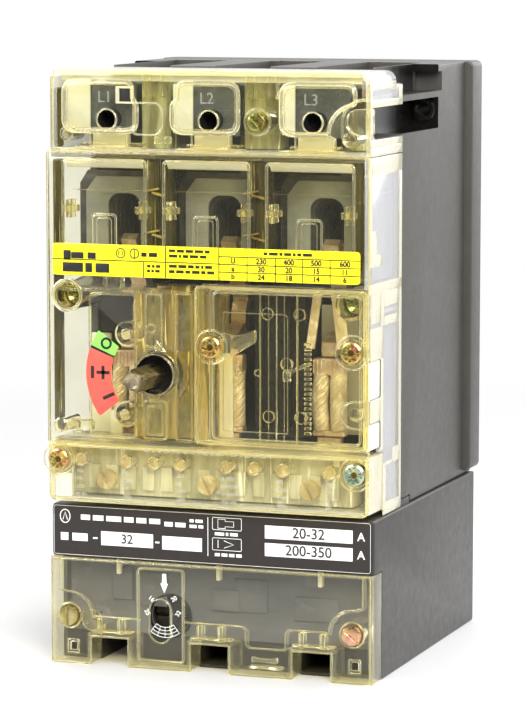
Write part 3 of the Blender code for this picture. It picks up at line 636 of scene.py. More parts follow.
# Dark brown metal of the disc behind the sealed screws' petals; it paints the shade between them.
RECESS_SHADE = metal("screw_recess_shade", ((0.12, 0.07, 0.02), (0.2, 0.13, 0.04)), 0.35)
COPPER = metal(
    "copper_strip", ((0.76, 0.59, 0.41), (0.62, 0.45, 0.28), (0.86, 0.73, 0.56)), 0.4, (1, 1, 1), 0.3,
    (0.3, 0.2, 0.14), 0.7,
)
BRAID = metal(
    "copper_braid", ((0.7, 0.58, 0.4), (0.54, 0.43, 0.27), (0.84, 0.74, 0.55)), 0.6, (1, 1, 0.2), 0.3,
    (0.36, 0.27, 0.16), 0.35,
)
STEEL = metal(
    "olive_steel", ((0.17, 0.14, 0.08), (0.26, 0.22, 0.14), (0.1, 0.08, 0.045)), 0.34, (1, 0.06, 1)
)
ZINC = metal("yellow_zinc", ((0.5, 0.4, 0.14), (0.36, 0.32, 0.13), (0.6, 0.5, 0.26)), 0.34, (1, 1, 0.1))
PLATE_STEEL = metal(
    "chute_steel", ((0.03, 0.029, 0.026), (0.07, 0.067, 0.06)), 0.5, (0.2, 1, 1), 0.3, (0.06, 0.055, 0.045),
    0.2,
)
YELLOW = film("yellow_film", (1.0, 0.86, 0.008), (0.8, 0.7, 0.05), 0.38, 0.2)
RED = film("red_film", (0.96, 0.1, 0.07), (0.8, 0.2, 0.15), 0.4, 0.2)
GREEN = film("green_film", (0.27, 0.85, 0.1), (0.3, 0.6, 0.2), 0.4, 0.2)
INK = film("black_ink", (0.012, 0.012, 0.01), (0.12, 0.12, 0.1), 0.45, 0.25)
WHITE_INK = film("white_ink", (0.86, 0.86, 0.83), (0.6, 0.58, 0.54), 0.45, 0.15)
PLATE_BROWN = film("nameplate_brown", (0.017, 0.012, 0.01), (0.08, 0.07, 0.06), 0.5, 0.2)
FLOOR = backdrop("pale_floor")


# ---------------------------------------------------------------- dark housings


def side_range(side, inner, outer):
    """Range of x on the left (-1) or the right (1)."""
    return (inner, outer) if side > 0 else (-outer, -inner)


def in_channel(face):
    """True for the walls of the side channels and top steps, which get a near-black copy of the housing
    plastic that paints the shade in these recesses.
    """
    x, d, z = abs(face.center.x) / MM, (face.center.y - FACE) / MM, face.center.z / MM
    return CHANNEL_IN - 0.1 < x < 69.5 and d < CHANNEL_END + 0.1 and z > 219.4


def base():
    """Base moulding: flange, pole chambers, line pockets and the side channels to the mounting holes."""
    body = Piece("base")
    body.block(BASE_X, (BASE_D[0], REAR_D[1] - 1), (BASE_Z[0], LINE_TOP), 0.7, 3)
    body.prism(rounded(REAR_X, REAR_Z, 2.5), REAR_D, edge=0.6, segments=3)
    cuts = Piece("cuts")
    for x in ((-64.9, -23.6), (-20.4, 20.4), (23.6, 64.9)):
        cuts.block(x, (40, 128), (70.7, 206.9), 0)
    for x in POLES.values():
        cuts.blocks(
            0, (x - 12, x + 12, 40, 112, 210.2, 260), (x - 8, x + 8, 57.5, 68, 200, 214),
            (x - 6, x + 6, 60, 80, 60, 73),
        )
    for side in SIDES:
        cuts.blocks(
            0, (*side_range(side, CHANNEL_IN, 80), 40, CHANNEL_END, 219.5, 232.5),
            (*side_range(side, CHANNEL_IN, 80), 40, CHANNEL_END, 235, 260),
            (*side_range(side, CHANNEL_IN + 0.01, 79), 90, 100, 235.01, 243),
        )
        cuts.pin((side * MOUNT_X, MOUNT_Z), 2.75, 90, 160)
        cuts.block(side_range(side, BASE_X[1] - 4, 80), (40, 58), (60, 69.8), 0)
    cuts.pin((50, 142), 8.45, -25, 25, "x", 40)
    cuts.blocks(0, (-25, 25, 39, 50, 133.55, 150.45), (-26, -8, 39.5, 54, 90, 162))
    body.cut(cuts)
    soften(body.bm, 0.25, 2, 50)
    for side in SIDES:
        body.blocks(
            0.4, (*side_range(side, 54.5, 66), BASE_D[0], 62, 149.2, 152),
            (*side_range(side, 54.5, 66), BASE_D[0], 62, 155, 157.6),
        )
        ring_x = side * MOUNT_X
        body.spin(
            [(5.2, 95.2), (5.2, 94.4), (4.9, 94.1), (3.1, 94.1), (2.8, 94.4), (2.8, 95.2)],
            (ring_x, MOUNT_Z), closed=True,
        )
        for i in range(20):
            u, v = ring((ring_x, MOUNT_Z), 4.1, 18 * i, 18 * i, 1)[0]
            body.block((u - 0.35, u + 0.35), (93.2, 94.4), (v - 0.8, v + 0.8), 0.15, 1, ("y", -18 * i + 90))
    body.row((-36.5, -7.5, 7.5, 36.5), 0.6, (112, 133), (LINE_TOP - 0.6, LINE_TOP + 0.15), 0.2)
    body.done(HOUSING, nodes=("base_housing", "line_block", "rear_plate"), edges=GLOSSY_SHADED, where=in_channel)


def trip_case():
    """Case of the trip unit with its load pockets, chambers and latch tongues, and dark pads that paint the
    shadow on the floor of two load pockets.
    """
    body = Piece("trip_case")
    body.block(TRIP_X, (TRIP_FRONT, REAR_D[1]), (0, 66.4), 0.8, 3)
    cuts = Piece("cuts")
    cuts.block((-80, 80), (0, 16.2), (-5, 44.8), 0)
    for x in ((-66.5, -24.5), (-19.5, 19.5), (24.5, 66.5)):
        cuts.blocks(0, (*x, 20, 54, 20, 62.4), (*x, 49.9, 132, 4, 70))
    for x in POLES.values():
        cuts.blocks(0, (x - 8.5, x + 8.5, 10, 49.6, -5, 16), (x - 6, x + 6, 24.5, 29.5, 60, 70))
    cuts.pin((33, 50), 2.9, -30, 30, "x", 24)
    cuts.pin((DIAL_X, DIAL_Z), 8.2, 10, 31)
    for x in (-TRIP_SCREW_X, TRIP_SCREW_X):
        cuts.pin((x, DIAL_Z), 2.2, 10, 19)
    body.cut(cuts)
    soften(body.bm, 0.3, 2, 50)
    for side in SIDES:
        body.block(side_range(side, 65.2, 68.4), (43.6, 57), (64, 69.4), 0.5)
    # Thin dark pads on the floor of the centre and right load pockets paint the shadow inside them.
    body.row((POLES["centre"], POLES["right"]), 8.3, (14, 49), (0.2, 1.4), 0.3)
    body.done(TRIP_CASE_SHADED, nodes=("trip_housing", "trip_front"))
    plate = Piece("trip_face")
    border = [(-66, 12), (66, 12), (66, 44.4), (-66, 44.4)]
    plate.sheet(
        [
            border, ring((DIAL_X, DIAL_Z), 8.2), ring((-TRIP_SCREW_X, DIAL_Z), 2.4),
            ring((TRIP_SCREW_X, DIAL_Z), 2.4),
        ],
        (15.4, 16.3), 0.2,
    )
    plate.row((-30, 14), 7, (14.8, 15.8), (24, 38), 0.4)
    plate.blocks(
        0.5, (-47, -38, 14.4, 15.8, 26, 40), (-3, 9, 14.4, 15.8, 24, 33), (33, 52, 14.7, 15.8, 22, 32)
    )
    plate.done(TRIP_PLATE)
    ticks = Piece("trip_ticks")
    ticks.row((-43.5, 0.5, 44.5), 0.9, (12.4, 15.8), (37, 43.6), 0.3)
    ticks.done(CREAM)


# ---------------------------------------------------------------- clear covers


def arc_window(rims, bands, x, z):
    """Raised frame of one arc-chute window with a bevelled band along its top, whose pale cream paints the
    highlight along the top of the window.
    """
    rims.bead(rounded(x, z, 1.5, 3), 0.2, 0.7)
    bands.prism(
        [(0.1, z[1]), (1.6, z[1]), (3.2, z[1] - 3.2), (2.7, z[1] - 3.2)], (x[0] + 1, x[1] - 1), "x", 0.2
    )


def front_cover():
    """Face of the main cover with its shaft hole and one screw hole."""
    x0, x1 = COVER_X
    top = COVER_Z[1]
    face = Piece("front_cover")
    border = [
        (x0, BAND_TOP), (x1, BAND_TOP), (x1, 95.1), (-1.3, 95.1), (-1.3, 159.8), (x1, 159.8), (x1, top),
        (x0, top),
    ]
    holes = [ring(SHAFT, 8), ring((-60.5, 153.5), 5)]
    face.sheet([border, *holes], (0.25, 2.3), 0.5)
    face.stands_for(PALE, edges=RIM)


def cover_walls():
    """Side walls of the main cover and the pale frames on the right one."""
    x0, x1 = COVER_X
    top = COVER_Z[1]
    walls = Piece("cover_walls")
    left = [
        (2.3, BAND_TOP), (2.3, top), (COVER_D[1], top), (COVER_D[1], BAND_Z[0]), (BAND_BACK, BAND_Z[0]),
        (BAND_BACK, BAND_TOP),
    ]
    walls.prism(left, (x0, x0 + 2.2), "x", 0.5)
    walls.done(PANE)
    right = Piece("cover_wall_right")
    notched = [
        (0.4, 159.8), (0.4, top), (COVER_D[1], top), (COVER_D[1], BAND_Z[0]), (BAND_BACK, BAND_Z[0]),
        (BAND_BACK, BAND_TOP),
        (15.8, BAND_TOP), (15.8, 106), (2.7, 106), (2.7, 115.3), (15.8, 115.3), (15.8, 131), (2.7, 131),
        (2.7, 159.8),
    ]
    right.prism(notched, (x1 - 2.2, x1), "x", 0.5)
    right.done(MILKY)
    frames = Piece("cover_wall_frames")
    skin = [x1 + step for step in WALL_SKIN]
    for d, z in (
        ((0.8, 4.5), (182.6, 209)), ((2.7, 43), (205, 211.8)), ((0.8, 43), (157.4, 161.6)),
        ((40, 43), (93, 205)),
        ((4, 16), (146, 157.4)), ((20, 40), (151.5, 157.4)), ((16, 20), (144, 157.4)),
        ((20, 38), (144, 147.5)),
        ((2.8, 19.2), (131, 144)), ((15.9, 19.2), (94, 131)), ((2.8, 15.9), (106.2, 115)),
        ((19.5, 43), (66.9, 71.8)),
        ((19.5, 23), (71.8, 88)), ((41, 43), (71.8, 93)), ((32.2, 41), (87, 93)), ((23, 32.2), (87, 88.2)),
    ):
        frames.block(skin, d, z, 0.12)
    frames.prism(
        [(0.8, 182.6), (9.6, 182.6), (9.6, 173.2), (17.3, 173.2), (17.3, 168.5), (0.8, 168.5)], skin, "x",
        0.12,
    )
    frames.blocks(
        0.2, (x1 - 3.5, x1 - 0.6, 4, COVER_D[1] - 2, 204.3, 205.1),
        (x1 - 3.5, x1 - 0.6, 3, COVER_D[1] - 2, 148.6, 150),
    )
    frames.done(CREAMY)


def cover_ribs():
    """Rims, window frames, crosses and screw tubes of the main cover."""
    x0, x1 = COVER_X
    top = COVER_Z[1]
    rims = Piece("cover_rims")
    rims.blocks(
        0.5, (x0 + 1, x1 - 1, 2, COVER_D[1], top - 2.2, top),
        (x0 + 2, -1, 2, BAND_BACK, BAND_TOP, BAND_TOP + 1.8),
        (x0 + 2, x1 - 2, BAND_BACK, COVER_D[1], BAND_Z[0], BAND_Z[0] + 2.2),
        (x0 + 2, x1 - 2, BAND_BACK, BAND_BACK + 2.2, BAND_Z[0] + 1, BAND_TOP + 2),
    )
    rims.bead(rounded(COVER_X, (BAND_TOP, top), 0.8, 2), 0.45, 0.45)
    bands = Piece("window_highlight_bands")
    for x in ((-62, -26), (-18, 18.5), (26, 62.5)):
        arc_window(rims, bands, x, (162.5, 209))
    # The pale cream bands paint the highlight along the top of each window.
    bands.done(CREAMY)
    for x in POLES.values():
        arch = [
            (x - 5.2, 175), *ring((x - 3.7, 185.5), 1.5, 180, 90, 4),
            *ring((x + 3.7, 185.5), 1.5, 90, 0, 4), (x + 5.2, 175),
        ]
        rims.tube([(u, 0, v) for u, v in arch], 0.55)
        inner = [(u * 0.62 + x * 0.38, v - 1.4) for u, v in arch]
        rims.tube([(u, 0.1, v) for u, v in inner], 0.25)
        for side in SIDES:
            u = x - 1 + side * 16
            rims.blocks(0.5, (u - 2.9, u + 2.9, 3, 9, 187.4, 190.2), (u - 1.2, u + 1.2, 3, 9, 185, 192.6))
    rims.block((x0 + 3, x1 - 3), (19.5, 20.3), (195.3, 195.7), 0.1)
    rims.pipe((-60.5, 153.5), 6.5, 5, 0.6, COVER_D[1], 40)
    rims.pipe((60.5, 153.5), 6.5, 5, 3.4, COVER_D[1], 40)
    rims.spin(
        [(6.9, 0.1), (6.6, -0.1), (5.4, -0.1), (5.1, 0.4), (5.1, 1.5), (6.9, 1.5)], (-60.5, 153.5),
        closed=True, steps=40,
    )
    rims.done(RIM)


def shaft_opening():
    """Black collar and washer in the round hole of the drive shaft."""
    Piece("shaft_collar").spin(
        [(8.0, 0.1), (7.7, 0.1), (7.7, 3.6), (5.3, 3.6), (5.3, 4.6), (8.0, 4.6)], SHAFT, closed=True,
        steps=48,
    ).done(BLACK)
    Piece("shaft_washer").pin(SHAFT, 5.25, 3.7, 4.5, steps=40).done(BLACK, "drive_shaft")


def window_depths():
    """Streaked mouldings deep between the arc windows; the tilted olive bars paint the gold zigzag highlights
    there.
    """
    # Tilted olive bars paint the gold zigzag highlights between the windows.
    flashes = Piece("cover_zigzag_highlights")
    for x in (-24.5, 18.5):
        for z in (180, 197):
            flashes.block((x - 4.5, x + 2), (5.5, 7.5), (z - 0.5, z + 0.4), 0.35, turn=("y", -12))
            flashes.block((x - 1, x + 4.5), (5.5, 7.5), (z - 2.2, z - 1.2), 0.35, turn=("y", 14))
    flashes.done(OLIVE)

    deep = Piece("cover_channels")
    for x in ((-29, -20), (14.5, 22.5), (59.5, 64)):
        deep.block(x, (8, 20), (163, 209), 0.8)
    deep.block((-67.6, -64.4), (2.6, 7), (97, 209), 0.6)
    deep.done(DUSKY)


PADS = (((-27, -20), (133.5, 155), 1.2), ((-14, -7), (95.8, 155.5), 1.2), ((-28, -18), (95.8, 111.5), 1.4))


def drive_bay():
    """Ribs, pads and pins moulded behind the face round the drive shaft."""
    pads = Piece("drive_pads")
    for x, z, r in PADS:
        pads.sheet([rounded(x, z, r)], (2.6, 3.8), 0.4)
    pads.block((-25.5, -20.5), (2.6, 3.8), (110, 116), 0.4)
    pads.done(PALE, edges=RIM)
    rims = Piece("drive_rims")
    for x, z, r in (
        *PADS,
        ((-26.3, -19.7), (97.5, 109), 1.0),
        ((-51.5, -31.5), (95.8, 154.5), 1.5),
        ((-5.5, -2.6), (95.8, 157), 0.8),
    ):
        rims.bead(rounded(x, z, r, 4), 2.6, 0.5)
    rims.bead(ring((-24.5, 141), 1.7), 2.4, 0.4)
    for x, z in ((-35, 138.5), (-35.5, 105.5)):
        rims.pipe((x, z), 5.4, 4.6, 2.4, 12, 32)
        rims.spin([(0, 0.9), (2, 0.9), (2.3, 1.2), (2.3, 14), (0, 14)], (x, z))
    rims.spin([(0, -0.1), (2.4, -0.1), (3, 0.4), (3, 16), (0, 16)], (-64, 100))
    rims.block((-66.5, -52), (5, 9), (97.5, 102), 0.8)
    rims.prism([(-17.6, 132), (-22, 132.2), (-21.6, 136.4)], (-0.2, 2), edge=0.3)
    rims.row((-4.4, -3.0, -1.8, 0.3), 0.3, (2.2, 26), (96, 158), 0.2)
    rims.block((-66, -2), (2.2, 24), (155.2, 156.6), 0.4)
    rims.block((-46, -39.5), (3, 12), (156.5, 161.5), 0.7)
    rims.block((-32.2, -31.4), (2.4, 10), (96, 156), 0.3)
    rims.done(RIM)
    olive = Piece("drive_ribs")
    olive.blocks(0.6, (-33.5, -28.6, 8, 22, 95.6, 156.5), (-20.6, -15.2, 6, 22, 95.6, 156.5))
    olive.block((-24, -9), (6, 12), (155, 158.6), 1.2)
    olive.prism([(-22.4, 131.6), (-8, 131.6), (-8, 114), (-12, 114)], (7.5, 9), edge=0.4)
    olive.done(OLIVE)
    Piece("drive_lobe").sheet(
        [ring((SHAFT_X + 2, SHAFT_Z), 12, steps=48), ring(SHAFT, 8.6, steps=40)], (3, 5.5), 0.8
    ).done(PALE, edges=RIM)
    # The backing's whitish colour paints light onto a part that sits in shade inside the cover.
    slabs(
        "drive_backing", WHITISH, 0.6, (-59.5, -50.6, 23, 24.5, 93.5, 136),
        (-50.6, -45, 21.5, 22.6, 93.5, 104),
    )
    slabs("latch_recess", BLACK, 0.6, (-49.4, -35.8, 9.4, 11.2, 138.8, 152.8))


def terminal_cover():
    """Face of the line terminal cover with its driver holes and square window."""
    x0, x1 = CAP_X
    z0, z1 = CAP_Z
    face = Piece("terminal_cover")
    border = rounded((x0, x1), (z0, z1), [1, 6, 4, 1], 6)
    holes = [ring((x + DRIVER_SHIFT, DRIVER_Z), 3.9, steps=32) for x in POLES.values()]
    holes.append([(-37.2, 232.8), (-31.8, 232.8), (-31.8, 238.2), (-37.2, 238.2)])
    face.sheet([border, *holes], (0.3, 2.4), 0.5)
    face.stands_for(PALE, edges=RIM)


def terminal_shell():
    """Lid and walls of the terminal cover."""
    x0, x1 = CAP_X
    z0, z1 = CAP_Z
    shell = Piece("terminal_shell")
    lid = Piece("terminal_lid")
    lid.block((x0 + 2.5, x1 - 4), (1.5, 35), (z1 - 2.2, z1), 0.9, 3)
    lid.row((-60, -42, -30, -12, 14, 34, 60), 0.6, (4, 34), (z1 - 4, z1 - 1.8), 0.3)
    lid.block((x0 + 4, x1 - 4), (3, 4.4), (z1 - 4.6, z1 - 1), 0.4)
    # The lid's white haze paints part of its white reflection; the lid itself is clear.
    lid.done(HAZE_SHEEN)
    shell.block((x0 + 2.5, x1 - 1), (33, 43.4), (z0 + 25.6, z0 + 27.7), 0.6)
    shell.prism(
        ring((x1 - 4.4, z1 - 4.4), 4.4, 0, 90, 6) + ring((x1 - 4.4, z1 - 4.4), 2.4, 90, 0, 6), (1.5, 35),
        edge=0.3,
    )
    shell.block((x0, x0 + 2.2), (1.5, 43.4), (z0, z1 - 3), 0.6)
    profile = [
        (1.5, z0), (43.4, z0), (43.4, 219), (8, 219), (5, 221.5), (5, 231), (8, 233.5), (43.4, 233.5),
        (43.4, 240), (35, 240), (35, z1 - 4), (1.5, z1 - 4),
    ]
    shell.prism(profile, (x1 - 2.2, x1), "x", 0.5)
    shell.block((x0 + 1, x1 - 1), (1.6, 43), (z0, z0 + 1.6), 0.4)
    shell.done(MILKY)


def terminal_rims():
    """Pockets, driver hole rims and ribs of the terminal cover."""
    x0, x1 = CAP_X
    z0, z1 = CAP_Z
    rims = Piece("terminal_rims")
    outlines = (
        [(-61.5, 220.6), (-29.5, 220.6), (-29.5, 232), (-31.5, 234), (-31.5, 240.8), (-61.5, 240.8)],
        [(-14.5, 220.6), (14, 220.6), (14, 240.8), (-12, 240.8), (-12, 234), (-14.5, 232)],
        [(32, 220.6), (52, 220.6), *ring((63.5, 221.5), 11.5, 176, 92, 6), (63, 240.8), (32, 240.8)],
    )
    lips = Piece("terminal_lips")
    for outline in outlines:
        shape = fillet(outline, 5)
        lips.bead(shape, 0.15, 0.9)
        middle = (sum(u for u, _ in shape) / len(shape), sum(v for _, v in shape) / len(shape))
        rims.bead([(u * 0.93 + middle[0] * 0.07, v * 0.88 + middle[1] * 0.12) for u, v in shape], 0.2, 0.3)
    bulge = [(-31, 232.4), (-20.5, 232.4), (-18.6, 229.5), (-18.6, 222.5), (-21, 219.6), (-31, 219.6)]
    lips.bead(fillet(bulge, 1.5), 0.3, 0.4)
    rims.bead(rounded((x0 + 0.6, x1 - 0.6), (z0 + 0.6, z1 - 0.6), [1, 5.5, 3.5, 1], 6), 0.5, 0.55)
    for x in POLES.values():
        lips.bead(ring((x + DRIVER_SHIFT, DRIVER_Z), 4.2, steps=32), 0.2, 0.32)
        lips.bead(rounded((x - 6.3, x + 9.3), (214.6, 220), 0.6, 2), 1.4, 0.4)
        lips.block((x - 13.5, x + 14), (1.6, 3.6), (212.6, 214.4), 0.5)
    lips.done(LIP)
    Piece("window_frame").sheet(
        [rounded((-38.7, -31.3), (232, 239), 0.3, 2), rounded((-37.2, -31.9), (232.8, 238.1), 0.2, 2)],
        (0.0, 0.9), 0.15,
    ).done(CREAMY)
    slabs("window_dark", INK, 0.1, (-37.4, -31.7, 0.9, 3, 232.6, 238.3))
    rims.bead(ring((22, DRIVER_Z), 5.3, steps=40), 0.1, 0.45)
    rims.pipe((22, DRIVER_Z), 5.6, 5.1, 2, 9)
    for x, z, r in ((-60, 219.5, 3), (61, 219, 3.2)):
        rims.spin([(r, -0.2), (r, 12), (0, 12), (0, 1), (r - 1, 1), (r - 1, -0.2)], (x, z), steps=28)
    for u0, u1 in ((-28, -26.8), (-25, -24), (-20, -19), (16.5, 17.6), (20, 21), (25.5, 26.6), (29, 30)):
        rims.block((u0, u1), (2, 26), (234.5, z1 - 1.5), 0.3)
    for x in ((-57, -27), (-11, 15), (33, 57)):
        rims.blocks(0.4, (*x, 2, 7, 212.6, 214.4), (x[0] + 2, x[1] - 2, 2, 9, 214.8, 216))
    rims.row((-21.5, -17), 1.4, (1.8, 4), (215.8, 219), 0.5)
    arc_out = ring((66.5, 226), 8.8, 178, 100, 8)
    rims.tube([(u, -0.1, v) for u, v in [(57.9, 219.5), *arc_out, (68.6, 235)]], 0.6)
    rims.prism(ring((63.6, 226), 5.2, 90, 270, 10) + [(68.7, 220.8), (68.7, 231.2)], (0.6, 9), edge=0.8)
    rims.done(RIM)


def terminal_insides():
    """Wells, floors and mouldings behind the terminal cover, and pale slabs that paint the light seen through
    the pockets.
    """
    slabs(
        "terminal_blocks", HONEY, 0.8, (-31, -18, 9, 20, 213.5, 241), (12.5, 28, 11, 22, 214, 242),
        (56.5, 65, 11, 22, 214, 218),
    )
    wells = Piece("terminal_wells")
    for x in POLES.values():
        wells.block((x - 6.5, x + 8.5), (12, 42), (218.5, 239.5), 1.2)
        wells.spin(
            [(3.85, 0.9), (3.85, 13), (0, 13), (0, 7), (3.3, 7), (3.3, 0.9)], (x + DRIVER_SHIFT, DRIVER_Z)
        )
    wells.done(BLACK)
    floors = Piece("terminal_well_floors")
    for x, (u0, u1) in zip(POLES.values(), ((-52.2, -32.2), (-7.7, 12.3), (35.8, 58.8))):
        outer = [(u0, 219.4), (u1, 219.4), (u1, 240.4), (u0, 240.4)]
        floors.sheet([outer, ring((x + DRIVER_SHIFT, DRIVER_Z), 4.2, steps=32)], (6, 7.2), 0.2)
    floors.done(WELL)
    # Pale slabs in the left part of each pocket paint the bright background seen through the clear wall.
    pale = Piece("terminal_pocket_lights")
    for x in ((-62.4, -51.6), (-15.6, -7), (30.8, 36.4)):
        pale.block(x, (4.4, 5.6), (220.2, 240), 0.5)
    pale.done(POCKET_LIGHT)
    feet = Piece("terminal_feet")
    for x in POLES.values():
        feet.block((x - 6, x + 9), (3, 8), (213.6, 219.8), 0.7)
    feet.done(CREAMY)
    slabs("terminal_edge_strip", DUSKY, 0.8, (-67.2, -63.6, 2.8, 6, 214, 238))


def terminal_wall():
    """Pale frames round the slot in the right wall of the terminal cover."""
    x1 = CAP_X[1]
    z0 = CAP_Z[0]
    sides = Piece("terminal_wall_frames")
    skin = [x1 + step for step in WALL_SKIN]
    for d, z in (
        ((1.8, 43), (231.6, 234.4)), ((1.8, 34.5), (238.8, 241.3)), ((38.6, 43), (234.4, 239.5)),
        ((2.7, 43), (z0, z0 + 1.5)),
        ((2.7, 43), (216, 218.8)), ((27, 43), (213.7, 216)),
    ):
        sides.block(skin, d, z, 0.12)
    sides.done(CREAMY)
    slabs("terminal_wall_bar", WHITISH, 0.15, (*skin, 3.8, 26.8, 213.9, 215.8))


POSTS = (-54.5, -34.5, -22.5, -11, 9, 21, 33.5, 53)


def auxiliary_band():
    """Clear band of the auxiliary terminals: its face, shell and rims with post bosses."""
    x0, x1 = BAND_X
    z0, z1 = BAND_Z
    Piece("auxiliary_cover").sheet(
        [rounded(BAND_X, BAND_Z, [3, 1, 1, 3], 5)], (0.3, 2.2), 0.5
    ).stands_for(PALE, edges=RIM)
    shell = Piece("band_shell")
    shell.block((x0 + 2, x1 - 2), (1.6, BAND_D[1]), (z1 - 1.8, z1), 0.5)
    shell.block((x0 + 2.5, x1 - 2.5), (1.6, BAND_D[1]), (z0, z0 + 2), 0.6)
    for x in ((x0, x0 + 2), (x1 - 2, x1)):
        shell.block(x, (1.6, BAND_D[1]), (z0 + 1, z1), 0.5)
    shell.done(CREAMY)
    rims = Piece("band_rims")
    rims.bead(rounded((x0 + 0.5, x1 - 0.5), (z0 + 0.5, z1 - 0.5), [2.8, 1, 1, 2.8], 5), 0.5, 0.5)
    for x in POSTS:
        rims.spin([(0, 1.6), (2.2, 1.6), (2.6, 2), (2.6, 8), (0, 8)], (x - 1, 86), steps=24)
    for x in (-64.3, 63.5):
        rims.bead(ring((x, 86), 6.6, steps=40), 0.1, 0.4)
        rims.pipe((x, 86), 5.4, 4.9, 1, 8)
    rims.done(RIM)


def auxiliary_terminals():
    """Print, terminal strip, posts and screws behind the band."""
    marks = Piece("band_marks")
    for i, x in enumerate((-55, -34.5, -11, 8, 12, 32, 53)):
        for row in range(4):
            greek(marks, (x - 1.6, x + 2.6), 81.5 - 3.2 * row, 0.1, 1, 1.5, 40 + 5 * i + row, 0.3)
    greek(marks, (-27, 28), 91, 0.1, 1, 0.9, 77, 0.8)
    marks.done(ETCHED)
    slabs("band_panel", PANEL, 0.8, (-67, -59.5, 1.2, 4, 70, 80))
    seat = Piece("auxiliary_block")
    seat.block((-62, 60), (8.5, 19.6), (71, 90), 0.6)
    seat.row(range(-52, 53, 8), 2.6, (7, 9), (73.5, 83.5), 0.6)
    seat.stands_for(SEAT)
    posts = Piece("auxiliary_posts")
    for x in POSTS:
        posts.spin([(0, 4.4), (2.5, 4.4), (2.9, 4.8), (2.9, 8.6), (0, 8.6)], (x - 2.4, 85.2), steps=24)
    posts.done(BRASS)
    screws = Piece("auxiliary_screws")
    for x in POLES.values():
        slotted(screws, x - 1, 77.8, 4.1, 2.4, 6.5, 62, 1.3)
    screws.done(BRASS)


TABS = ((115.8, 130.6), (95.4, 105.6))


def accessory_cover():
    """Raised cover at the lower right with its double rim, hooked round the side."""
    x0, x1 = FLAP_X
    z0, z1 = FLAP_Z
    Piece("accessory_cover").sheet(
        [rounded(FLAP_X, FLAP_Z, [1.5, 2, 2, 1.5], 5)], (-1.45, 0.2), 0.45
    ).stands_for(PALE, edges=RIM)
    rims = Piece("accessory_rims")
    rims.bead(rounded((x0 + 0.5, x1 - 0.4), (z0 + 0.5, z1 - 0.4), 2, 4), -1.0, 0.5)
    rims.bead(rounded((x0 + 8, x1 - 3), (z0 + 2.5, z1 - 2.2), 2, 4), -0.9, 0.6)
    rims.bead(rounded((x0 + 6.4, x1 - 1.6), (z0 + 1.2, z1 - 0.9), 2, 4), -0.2, 0.35)
    rims.bead(rounded((7.5, 35), (101, 149), [0.5, 2, 0.5, 0.5], 4), 0.1, 0.22)
    for x, z in ((x0 + 1, z0), (x1 - 1.2, z0)):
        rims.block((x - 0.8, x + 0.8), (-1.2, 2.6), (z0 + 1, z1 - 1), 0.4)
    rims.blocks(0.4, (x0 + 1, x1 - 1, -1.2, 2.6, z0, z0 + 1.6), (x0 + 1, x1 - 1, -1.2, 2.6, z1 - 1.6, z1))
    for x in (2.9, 62.5):
        rims.bead(ring((x, 135), 6.8, steps=40), -1.5, 0.4)
        rims.pipe((x, 135), 5.4, 4.9, -0.6, 9)
    lobe = [*ring((63.5, 110), 5.5, 90, 270, 10), (68.5, 104.5), (68.5, 115.5)]
    rims.tube([(u, -1.5, v) for u, v in lobe], 0.5, True)
    rims.spin([(0, -0.6), (2.4, -0.6), (2.8, 0), (2.8, 6), (0, 6)], (63.5, 110), steps=24)
    lever = [
        (6.5, 140.4), (12.7, 139.4), (20.8, 142.3), (20.8, 137.1), (11.7, 131.7), (5, 128), (3.5, 129.5)
    ]
    rims.prism(fillet(lever, 1.2, 3), (0.5, 3.4), edge=0.5)
    rims.done(RIM)
    tabs = Piece("accessory_tabs")
    for z in TABS:
        tabs.block((x1 - 1.9, x1 - 0.05), (0.4, 15.2), z, 0.4)
    tabs.done(WHITISH)
    # Thin black slabs behind the tabs paint the shadow line along their back edges.
    gaps = Piece("accessory_tab_shadow_lines")
    for z in TABS:
        gaps.block((x1 - 1.9, x1 + 0.1), (15.25, 15.75), z, 0.1)
    gaps.done(BLACK)


CABLE_GAPS = [
    (x + u, v) for x in POLES.values() for u, v in ((-8.4, 0), (-8.4, 11.6), (8.4, 11.6), (8.4, 0))
]
DIAL_SLOT = ring((DIAL_X, 24.8), 4.6, 0, 180, 12) + ring((DIAL_X, 15.8), 4.6, 180, 360, 12)


def trip_cover():
    """Clear shield of the trip unit: face with dial slot, cable gaps and small holes, and its shell."""
    x0, x1 = SHIELD_X
    z1 = SHIELD_Z[1]
    face = Piece("trip_cover")
    border = [(x0, 0), *CABLE_GAPS, (x1, 0), (x1, z1), (x0, z1)]
    holes = [DIAL_SLOT, ring((-TRIP_SCREW_X, DIAL_Z), 2.2), ring((TRIP_SCREW_X, DIAL_Z), 2.2)]
    for x in (-60, 62.5):
        holes.append([(x - 1.4, 5.8), (x + 1.4, 5.8), (x + 1.4, 9), (x - 1.4, 9)])
    face.sheet([border, *holes], (3.2, 5.2), 0.4)
    face.stands_for(PANE, edges=RIM)
    shell = Piece("trip_shell")
    for x in ((x0, x0 + 2), (x1 - 2, x1)):
        shell.block(x, (3.6, SHIELD_D[1]), (0.2, z1), 0.5)
    shell.block((x0 + 1, x1 - 1), (4, SHIELD_D[1]), (z1 - 1.6, z1), 0.4)
    spans = [(x0 + 1, -52.6), (-35.4, -8.6), (8.6, 35.4), (52.6, x1 - 1)]
    for x in spans:
        shell.block(x, (4, SHIELD_D[1]), (0.1, 2), 0.5)
    for x in POLES.values():
        shell.block((x - 10.2, x + 10.2), (4, SHIELD_D[1]), (11.7, 13.4), 0.5)
        for side in SIDES:
            shell.block(sorted((x + side * 8.6, x + side * 10.2)), (4, SHIELD_D[1]), (0.3, 13), 0.4)
    shell.done(SHELL)


